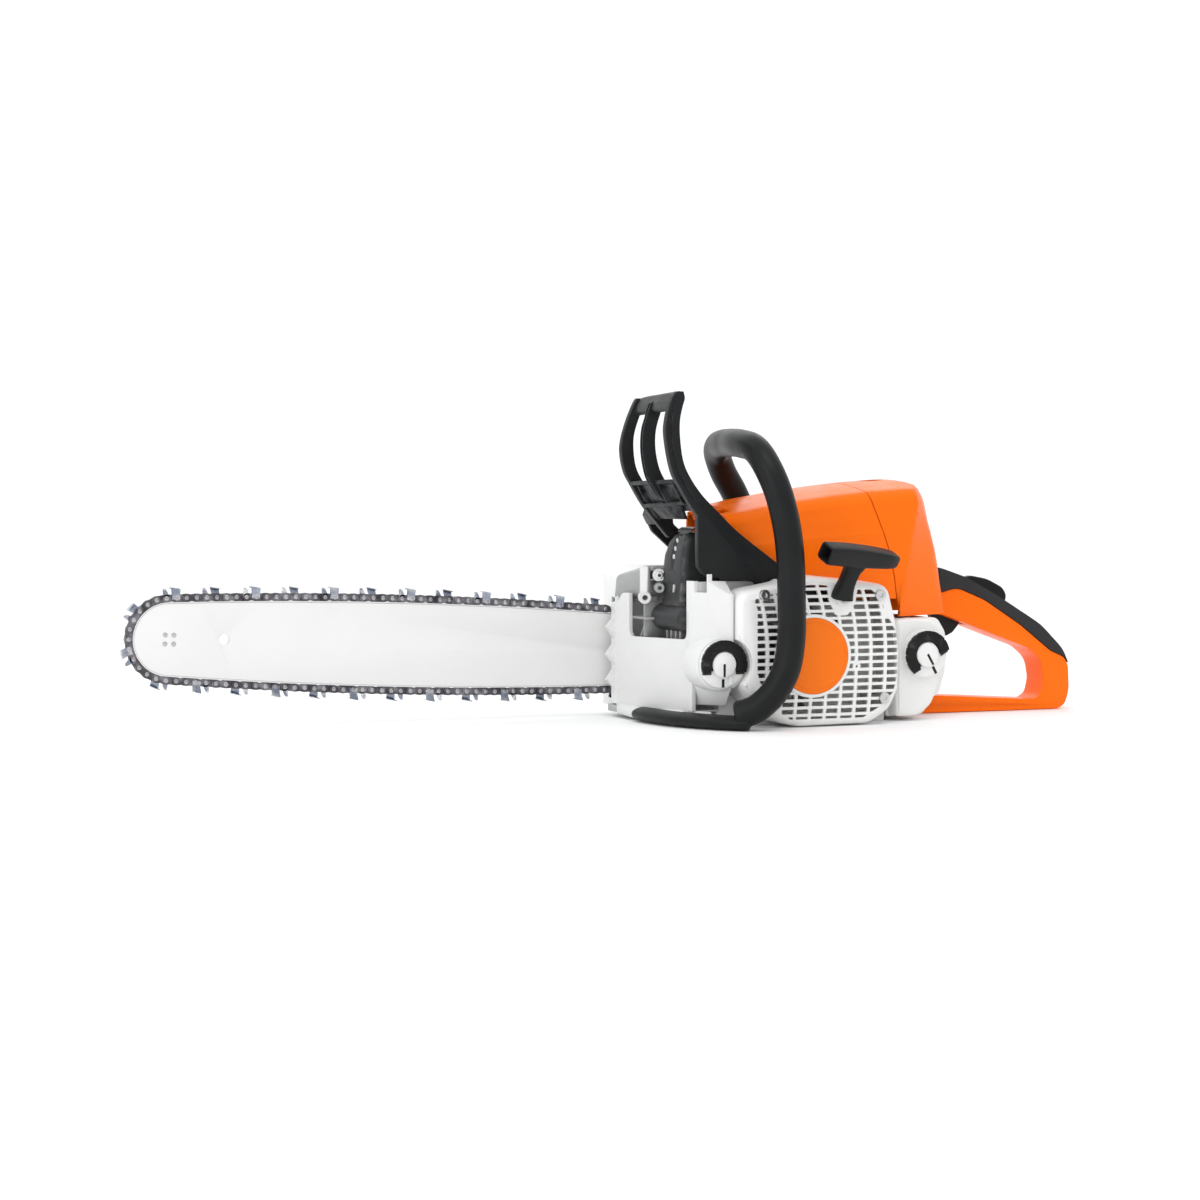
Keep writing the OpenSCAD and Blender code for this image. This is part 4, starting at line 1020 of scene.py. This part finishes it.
rows = []
for x, half, low, high in (
    (-35.8, 6.0, -6.4, 6.4), (-35, 6.8, -7.4, 7.4), (-33, 7.0, -7.8, 7.8),
    (-20, 6.5, -8.1, 8.5), (-8, 6.5, -8.1, 8.6), (6, 6.5, -8, 8.2), (18, 6.4, -7.6, 7.6),
    (30, 6.2, -7.0, 6.6), (38, 5.6, -6.2, 5.6), (41, 4.4, -5, 4.4), (42.2, 2.2, -2.8, 2.4)):
    row = []
    for a in range(0, 360, 12):
        c, s = math.cos(math.radians(a)), math.sin(math.radians(a))
        flat = 0.42
        cc = math.copysign(abs(c) ** flat, c)
        ss = math.copysign(abs(s) ** flat, s)
        row.append(grip_point(x, half * cc, (low + high) / 2 + (high - low) / 2 * ss))
    rows.append(row)
bar = capped_loft("grip", rows)
pocket = prism("pocket", [grip_point(-38, y, z) for y, z in ((-4.4, -5.2), (4.4, -5.2),
        (4.4, 5.6), (-4.4, 5.6))],
    [grip_point(-14, y, z) for y, z in ((-4, -4.6), (4, -4.6), (4, 5), (-4, 5))])
cut(bar, pocket)
rows = []
for z, x0, x1, half in ((0.4, -11.6, 7.8, 6.2), (3, -11.2, 7, 6), (8, -9.9, 5.8, 5.7),
    (13, -8.9, 5, 5.6), (19, -8.3, 5.2, 5.6), (25, -8.2, 6, 5.6),
    (30, -9.8, 8.6, 5.8), (33.5, -13, 12.2, 6), (36.5, -16.5, 15, 6)):
    row = []
    for a in range(0, 360, 15):
        c, s = math.cos(math.radians(a)), math.sin(math.radians(a))
        cc = math.copysign(abs(c) ** 0.6, c)
        ss = math.copysign(abs(s) ** 0.6, s)
        row.append(on_grip(((x0 + x1) / 2 + (x1 - x0) / 2 * cc, half * ss, z)))
    rows.append(row)
stem = capped_loft("stem", rows)
combine(stem, plate("trim", [(0, 60), (60, 60), (60, 170), (0, 170)], -170, -100.5), "INTERSECT")
grip = merge("pull_grip", [soften(tidy_faces(bar, 0.2), 0.5, 2, 45), shade(stem, 60)])
show(grip, CHARCOAL, "grip", "starter_grip")
eyelet = lathe("rope_eyelet", [(2.8, -1.4), (2.8, 0.4), (4.2, 1.0), (7.2, 0.6), (7.8, -0.4),
        (7.8, -1.4)], (27, -100.2, 104), (0, -1, 0), 32)
show(shade(eyelet), WHITE_PLASTIC)

# The cord runs off the pulley, out through the eyelet and into the grip
CRANK_Z = 56
cord_path = smooth_path([(25.2, -91.3, CRANK_Z), (25.2, -91.3, 70), (25.2, -91.5, 86),
        tuple(on_grip((0, 0, -8))), tuple(on_grip((0, 0, -2)))], 5)
cord_path += [on_grip((0, 0, k * 0.8)) for k in range(32)]
coil = lathe("coil", [(23.5, 0.4), (24, 0), (26.4, 0), (27, 0.6), (27, 2), (26.4, 2.6),
        (24, 2.6), (23.5, 2.2), (23.5, 0.4)], (0, -92.6, CRANK_Z), (0, 1, 0), 64)
cord = shade(merge("starter_cord", [tube("cord", cord_path, 1.6, 16), coil]), 60)
cord.data.materials.clear()
cord.data.materials.append(CORD)
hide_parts("starter_rope")
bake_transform(cord)


# ---- Tank caps ----

def build_cap(name, at, face, turn, body, grip_body):
    """A screw cap with a folding half-ring grip, turned about its own axis."""
    place = (at[0], 0, at[1])
    knob = lathe(name, [(0, face - 7), (9.4, face - 7), (10.2, face - 6.5), (10.5, face - 5.6),
            (10.5, face - 4.2), (17.8, face - 4), (19, face - 3.4),
            (19.5, face - 2.6), (19.5, face - 0.3), (15.8, face - 0.3),
            (15.8, face + 13), (0, face + 13)], place, (0, 1, 0), 96)
    mark = brick("mark", (at[0] - 1.1, face - 8, at[1] - 9.9), (at[0] + 1.1, face - 5.6,
            at[1] + 0.6))
    low = brick("mark", (at[0] - 1.3, face - 8, at[1] - 18.6), (at[0] + 1.3, face - 3.2,
            at[1] - 11.6))
    cut(knob, mark, low)
    soften(tidy_faces(knob, 0.2), 0.3, 2, 50)
    turned(knob, place, (0, 1, 0), turn)
    show(knob, WHITE_PLASTIC, body, name)
    fills = [brick("fill", (at[0] - 1.08, face - 6.7, at[1] - 9.8),
            (at[0] + 1.08, face - 5.5, at[1] + 0.5)),
        brick("fill", (at[0] - 1.28, face - 3.9, at[1] - 18.4),
            (at[0] + 1.28, face - 3.1, at[1] - 11.7))]
    line = turned(merge(name + "_mark", fills), place, (0, 1, 0), turn)
    show(soften(line, 0.1, 1), BLACK, body)
    outline = []
    for a in range(-19, 200, 3):
        r = 19.8 if a % 21 else 19.2
        outline.append((at[0] + r * math.cos(math.radians(a)),
                at[1] + r * math.sin(math.radians(a))))
    inner = [(at[0] + 11.05 * math.cos(math.radians(a)), at[1] + 11.05 * math.sin(math.radians(a)))
        for a in range(205, -26, -5)]
    ring = plate("ring", outline + inner, face - 7.7, face - 4.35)
    for a in range(10, 180, 20):
        c, s = math.cos(math.radians(a)), math.sin(math.radians(a))
        nick = disc("nick", 0.9, face - 9, face - 3, (at[0] + 20.2 * c, at[1] + 20.2 * s), 12)
        cut(ring, nick)
    pin = []
    for side in (-1, 1):
        x0, x1 = sorted((at[0] + side * 11, at[0] + side * 18))
        pin.append(lathe("pin", [(0, 0), (1.6, 0), (1.6, x1 - x0), (0, x1 - x0)],
                (x0, face - 4.3, at[1] - 6.5), (1, 0, 0), 16))
    handle = merge(name + "_half_ring", [soften(tidy_faces(ring, 0.2), 0.5, 3, 40)] + pin)
    turned(handle, place, (0, 1, 0), turn)
    show(shade(handle), BLACK, grip_body, name + "_grip")


build_cap("fuel_cap", FUEL_CAP, -77, -30, "fuel_cap", "fuel_cap_grip")
build_cap("oil_cap", OIL_CAP, -88, 0, "oil_cap", "oil_cap_grip")


# ---- Front of the engine housing, round the muffler ----


def build_front():
    """The wall that wraps the muffler and the oil tank, with its window."""
    out = [(-113, 47), (-92.6, -59), (-92.2, -62.6), (-90.6, -65.4), (-87, -70.5),
        (-72.6, -90.8), (-69.8, -92.8), (-67.4, -93)]
    back = [(-67.4, -89.6), (-69.2, -89.4), (-70.6, -88), (-84.6, -68.4), (-88, -63.6),
        (-89.2, -61), (-89.6, -58.5), (-109.6, 47)]
    plan = out + back
    skirt = [(-111.4, 47), (-91.4, -58.6), (-90.4, -61.6), (-86.4, -66.6), (-80, -75),
        (-78, -75), (-84.6, -63.4), (-87, -60), (-88, -57.5), (-108, 47)]
    wall = slab("front_wall", plan, 12.6, 124)
    window = beam("window", rounded([(-57, 70.6), (25.7, 69.4), (25.7, 140), (-57, 140)],
            [5.6, 6, 0, 0]), -140, -88)
    post = beam("post", rounded([(25, 140), (25, 105.4), (36, 105.2), (44, 96), (60, 90),
            (60, 140)], [0, 1, 8, 8, 0, 0]), -140, -88)
    slot = brick("slot", (-140, -75.6, 109.2), (-60, -65.8, 140))
    shoulder = prism("shoulder", [(-120, -95, 106.5), (-60, -95, 106.5), (-60, -76.4, 118.2),
            (-120, -76.4, 118.2)],
        [(-120, -95, 160), (-60, -95, 160), (-60, -76.4, 160),
            (-120, -76.4, 160)])
    rear = brick("rear", (-95, -66, 118.2), (-60, -50, 140))
    recess = prism("recess", [(-91.6, -100, 35.5), (-50, -100, 35.5), (-50, -100, 0),
            (-91.6, -100, 0)],
        [(-91.6, -64.5, 36), (-50, -60, 36), (-50, -60, 0), (-91.6, -64.5, 0)])
    cut(wall, window, post, slot, shoulder, rear, recess)
    return soften(tidy_faces(wall, 0.2), 0.9, 3, 30), skirt


front_wall, skirt = build_front()
show(front_wall, WHITE_METAL)
under = slab("front_skirt", skirt, 3.2, 12.9)
show(soften(under, 1.2, 3), WHITE_METAL)

# The cast body behind those walls, with the front left open round the muffler
core = copy_node("engine_housing")
cut(core, brick("front", (-150, -150, 12.8), (-66, 44, 170)),
    brick("recess", (-150, -150, -20), (-66, -60, 12.9)),
    brick("corner", (-150, 40, 97), (-92, 60, 170)))
show(tidy_faces(core, 0.05), WHITE_METAL, instead="engine_housing")

# The block beside the muffler that carries the oil tank's filler
block = capped_loft("oil_tank_side", [
        [(-68, -92.4, 36), (-87.4, -66.5, 36), (-87.4, -62.6, 36), (-68, -62.6, 36)],
        [(-68, -92.4, 104), (-87.4, -66.5, 104), (-87.4, -62.6, 104), (-68, -62.6, 104)]])
inner = slab("guard_side_wall", [(-89, -65.2), (-34, -65.2), (-34, -62.4), (-89, -62.4)],
    100, 117.5)
slope = prism("outer_shoulder",
    [(-68, -92.6, 104), (-79.4, -76.6, 104), (-67.5, -76.6, 104)],
    [(-68, -92.2, 107.6), (-79.2, -76.7, 118.6), (-67.5, -76.7, 118.2)])
recess_face = prism("tank_recess",
    [(-90.5, -64.6, 36.5), (-67.4, -92.6, 36.5), (-67.4, -70, 36.5),
        (-88, -60, 36.5)],
    [(-86, -58, 17.5), (-66.5, -76.5, 17.5), (-66.5, -60, 17.5),
        (-84, -56, 17.5)])
cut(block, disc("cap_room", 22.1, -112, -84, OIL_CAP, 64))
boss = lathe("filler_collar", [(16.6, 0), (20.6, 0), (21.6, 0.8), (21.9, 2), (22.2, 26),
        (16.6, 26), (16.6, 0)], (OIL_CAP[0], -88.2, OIL_CAP[1]),
    (0, 1, 0), 72)
show(soften(merge("oil_tank_side", [block, inner, slope]), 0.8, 2), WHITE_METAL)
show(soften(recess_face, 1.5, 3), WHITE_METAL)
show(shade(boss), WHITE_METAL)

# A rounded underside piece along the front
keel = tube("front_keel", smooth_path([(-109, 44, 9), (-108, 20, 7), (-103, -8, 6.4),
        (-97, -34, 7), (-90, -56, 9)], 5), 5.2, 20,
    lambda s, a: math.sqrt(min(1, 0.2 + min(s, 1 - s) / 0.12)))
show(shade(keel, 60), WHITE_METAL)

# ---- Spiked bumper ----

CUSPS = [(-118.5, 94.5), (-118.6, 74), (-118, 53.5), (-119.4, 32), (-112, 14)]
edge = [(-104, 104), (-109.5, 103.5)]
for (x0, z0), (x1, z1) in zip([(-110.5, 102)] + CUSPS, CUSPS):
    for k in range(1, 9):
        t = k / 8
        bulge = math.sin(math.pi * min(1, t * 0.8 + 0.12)) ** 0.8 if k < 8 else 0
        inward = -111 + (1 - bulge) * -3
        line_x = x0 + (x1 - x0) * t
        edge.append((max(line_x, line_x + (inward - line_x) * bulge), z0 + (z1 - z0) * t))
edge += [(-100, 10), (-100, 104)]
bumper = plate("spiked_bumper", edge, 45.6, 51.6)
show(soften(tidy_faces(bumper, 0.3), 1.0, 3, 25), WHITE_METAL)

# ---- Inside the window ----

cells = [beam("shelf", [(-4, 84.2), (25.4, 84.2), (25.4, 86.4), (-4, 86.4)], -106, -76),
    brick("rib", (-104, 4.5, 70), (-80, 6.6, 99)),
    brick("back", (-82, -6, 68), (-79, 30, 116)),
    prism("gusset", [(-104, 12, 70), (-84, 12, 70), (-84, 12, 92), (-96, 12, 92)],
        [(-104, 14, 70), (-84, 14, 70), (-84, 14, 92), (-96, 14, 92)])]
for k in range(4):
    cells.append(brick("fin", (-90, -38 + 9 * k, 66), (-84, -34.5 + 9 * k, 76.5)))
show(soften(merge("window_ribs", cells), 0.7, 2), CAST)
for n, (x, y, z, r, hole) in enumerate([(-106, 5, 102.4, 5.2, 2.3), (-98, -7, 110.8, 4.2, 1.7),
        (-98, 10, 121, 5.2, 3.4)]):
    ring = lathe("boss", [(hole, 0), (r - 0.5, 0), (r, 0.6), (r, 14), (hole, 14), (hole, 0)],
        (x, y - 7, z), (0.35, 1, 0), 28)
    show(shade(ring), WHITE_METAL if n == 0 else CAST)
lean_post = prism("leaning_post", [(-109, 3, 106), (-105, -4, 106), (-101, 0, 106),
        (-105, 8, 106)],
    [(-107, 8, 128), (-103, -1, 128.5), (-98, 4, 128.5), (-103, 12, 128)])
show(soften(lean_post, 1.6, 3), WHITE_METAL)
hood = prism("clutch_side_hood", [(-113, 51, 99), (-96, 12, 104), (-80, 12, 104),
        (-86, 51, 99)],
    [(-111, 51, 119), (-97, 14, 127), (-84, 16, 127), (-84, 51, 127)])
show(soften(hood, 3.0, 4), CAST)

# ---- Muffler ----

rows = []
for z, y0, y1, x0, x1 in ((97, -50, -3, -91, -60), (104, -50.5, -3, -93, -60),
    (122, -50.5, -4, -94, -60), (138, -49.5, -6, -92.6, -60),
    (148, -48.5, -9, -90, -60.5), (154, -47, -12, -86.5, -61.5),
    (156.8, -45, -16, -82, -64)):
    rows.append([(x, y, z) for x, y in rounded([(x0, y1), (x0, y0), (x1, y0), (x1, y1)],
            [9, 6, 2, 2], 4)])
body = capped_loft("muffler_body", rows)
dent = tube("dent", smooth_path([(-92, -28, 158), (-96, -29, 146), (-99.5, -30.5, 128)], 6),
    6.6, 20)
cut(body, dent)
ridge = prism("ridge", [(-94.6, -45, 100), (-95.4, -50.2, 100), (-88, -51.4, 100),
        (-88, -45, 100)],
    [(-88.5, -39, 156), (-88.8, -42.5, 156), (-80, -46, 156), (-80, -39, 156)])
bulge_rows = []
for y, r in ((10, 4), (9, 7), (6, 9.4), (1, 10.8), (-6, 11), (-30, 11), (-52, 11), (-54.5, 10.4),
    (-56, 9)):
    bulge_rows.append([(-88 + r * math.cos(math.radians(a)), y,
            87 + r * math.sin(math.radians(a))) for a in range(0, 360, 12)])
pipe = capped_loft("pipe", bulge_rows)
saddle = prism("saddle", [(-92.5, -50, 88), (-92.5, -4, 88), (-64, -4, 88), (-64, -50, 88)],
    [(-92.5, -50, 104), (-92.5, -4, 104), (-62, -4, 104), (-62, -50, 104)])
muffler = merge("muffler_shell", [soften(tidy_faces(body, 0.2), 1.6, 3, 30),
        soften(ridge, 1.2, 2), shade(pipe, 50),
        soften(saddle, 3, 3)])
show(muffler, MUFFLER_GREY, instead="muffler")
bolts = []
for x, y, z in ((-88.6, -28, 150), (-90.8, -29, 143.5), (-92.6, -30, 137)):
    bolts.append(lathe("bolt", [(0, 0), (2.4, 0), (2.4, 2), (0, 2)], (x, y, z), (1, 0, 0), 6))
show(soften(merge("muffler_bolts", bolts), 0.2, 1), ZINC)
nut = [lathe("nut", [(1.6, 0), (3.6, 0.4), (3.8, 3), (1.6, 3), (1.6, 0)],
        (-97.5, -12.5, 121), (0.4, 1, 0.1), 6),
    lathe("washer", [(2, 0), (5.4, 0), (5.4, 1), (2, 1), (2, 0)], (-97, -10.2, 121.3),
        (0.4, 1, 0.1), 32),
    prism("clip", [(-96.4, -36, 108), (-96.4, -38.4, 108), (-93, -38.4, 108),
        (-93, -36, 108)],
        [(-96, -36.6, 114.5), (-96, -39, 114.5), (-93, -39, 114.5), (-93, -36.6, 114.5)])]
show(soften(merge("muffler_fixings", nut), 0.2, 2), ZINC)
rows = []
for y in (-54, -28):
    rows.append([(x, y, z) for x, z in
            ((-62, 160.6), (-80, 161.2), (-84.5, 161.1), (-87, 159.6), (-88, 157.2),
            (-87.2, 157), (-86.2, 159.2), (-84, 160.3), (-80, 160.3), (-62, 159.7))])
heat_shield = capped_loft("heat_shield", rows)
show(soften(heat_shield, 0.2, 1, 50), HEAT_STEEL, instead="muffler_shield")


# ---- The CAD nodes that keep their own shape ----

BLACK_PLAIN = finish("black_plastic_inner", linear(24, 24, 25), 0.45, tone=0.15)
LINK_PLAIN = finish("dark_steel", (0.16, 0.16, 0.17), 0.4, 0.9, tone=0.25)
BY_SLOT = {
    "housing_paint": WHITE_METAL, "white_plastic": WHITE_PLASTIC, "orange_plastic": ORANGE,
    "grey_plastic": BLACK_PLAIN, "black_plastic": BLACK_PLAIN, "grip_rubber": GRIP_RUBBER,
    "rubber_black": RUBBER, "bare_steel": STEEL, "chain_steel": LINK_PLAIN,
    "bar_paint": BAR_WHITE, "cast_aluminium": CAST, "muffler_paint": BLACK_PLAIN,
    "filter_felt": FELT, "rope_braid": CORD, "ceramic": CERAMIC}
SLOT_OF = {s["node"]: s["material_slot"] for s in frame["record"]["subparts"]}
for name, obj in NODES.items():
    finish_of = BY_SLOT[SLOT_OF[name]]
    if not obj.material_slots:
        obj.data.materials.append(finish_of)
    for holder in obj.material_slots:
        holder.material = finish_of


# ---- Floor, light and camera ----

FLOOR = finish("studio_floor", (0.95, 0.95, 0.95), 0.75, grain=(60, 0.03, 0.0002), tone=0.004)
floor = mesh_piece("studio_floor", [(-9000, -9000, -0.2), (9000, -9000, -0.2),
        (9000, 9000, -0.2), (-9000, 9000, -0.2)], [[0, 1, 2, 3]])
floor.data.materials.append(FLOOR)

world = bpy.data.worlds.new("studio")
world.use_nodes = True
sky = world.node_tree
sky.nodes["Background"].inputs["Color"].default_value = (0.985, 0.99, 1, 1)
way = sky.nodes.new("ShaderNodeTexCoord")
side = sky.nodes.new("ShaderNodeVectorMath")
side.operation = "DOT_PRODUCT"
side.inputs[1].default_value = (-0.35, 0.6, 0.7)
level = sky.nodes.new("ShaderNodeMapRange")
for socket, value in (("From Min", -0.9), ("From Max", 0.5), ("To Min", 0.74),
    ("To Max", 1.13)):
    level.inputs[socket].default_value = value
sky.links.new(way.outputs["Generated"], side.inputs[0])
sky.links.new(side.outputs["Value"], level.inputs["Value"])
sky.links.new(level.outputs["Result"], sky.nodes["Background"].inputs["Strength"])
SCENE.world = world
SCENE.view_settings.view_transform = "Standard"


def area_light(name, at, aim, size, power):
    data = bpy.data.lights.new(name, "AREA")
    data.shape = "RECTANGLE"
    data.size, data.size_y = size
    data.energy = power
    lamp = bpy.data.objects.new(name, data)
    lamp.location = at
    lamp.rotation_euler = (Vector(aim) - Vector(at)).to_track_quat("-Z", "Y").to_euler()
    SCENE.collection.objects.link(lamp)


area_light("key", (-0.5, -1.1, 2.0), (-0.1, 0, 0.1), (1.4, 1.0), 10)
area_light("side", (-2.0, -1.1, 0.9), (0, 0, 0.1), (0.8, 1.2), 6)
area_light("back", (0.6, 1.6, 1.4), (0, 0, 0.1), (1.6, 1.0), 4)

SWING, DIP = math.radians(22), math.radians(2.6)
AHEAD = Vector((math.sin(SWING) * math.cos(DIP), math.cos(SWING) * math.cos(DIP),
        -math.sin(DIP)))
lens = bpy.data.cameras.new("camera")
lens.lens = 90.24
lens.sensor_width = 36
lens.clip_start = 0.05
camera = bpy.data.objects.new("camera", lens)
camera.location = (-1.0679, -2.2836, 0.213)
camera.rotation_euler = AHEAD.to_track_quat("-Z", "Y").to_euler()
SCENE.collection.objects.link(camera)
SCENE.camera = camera
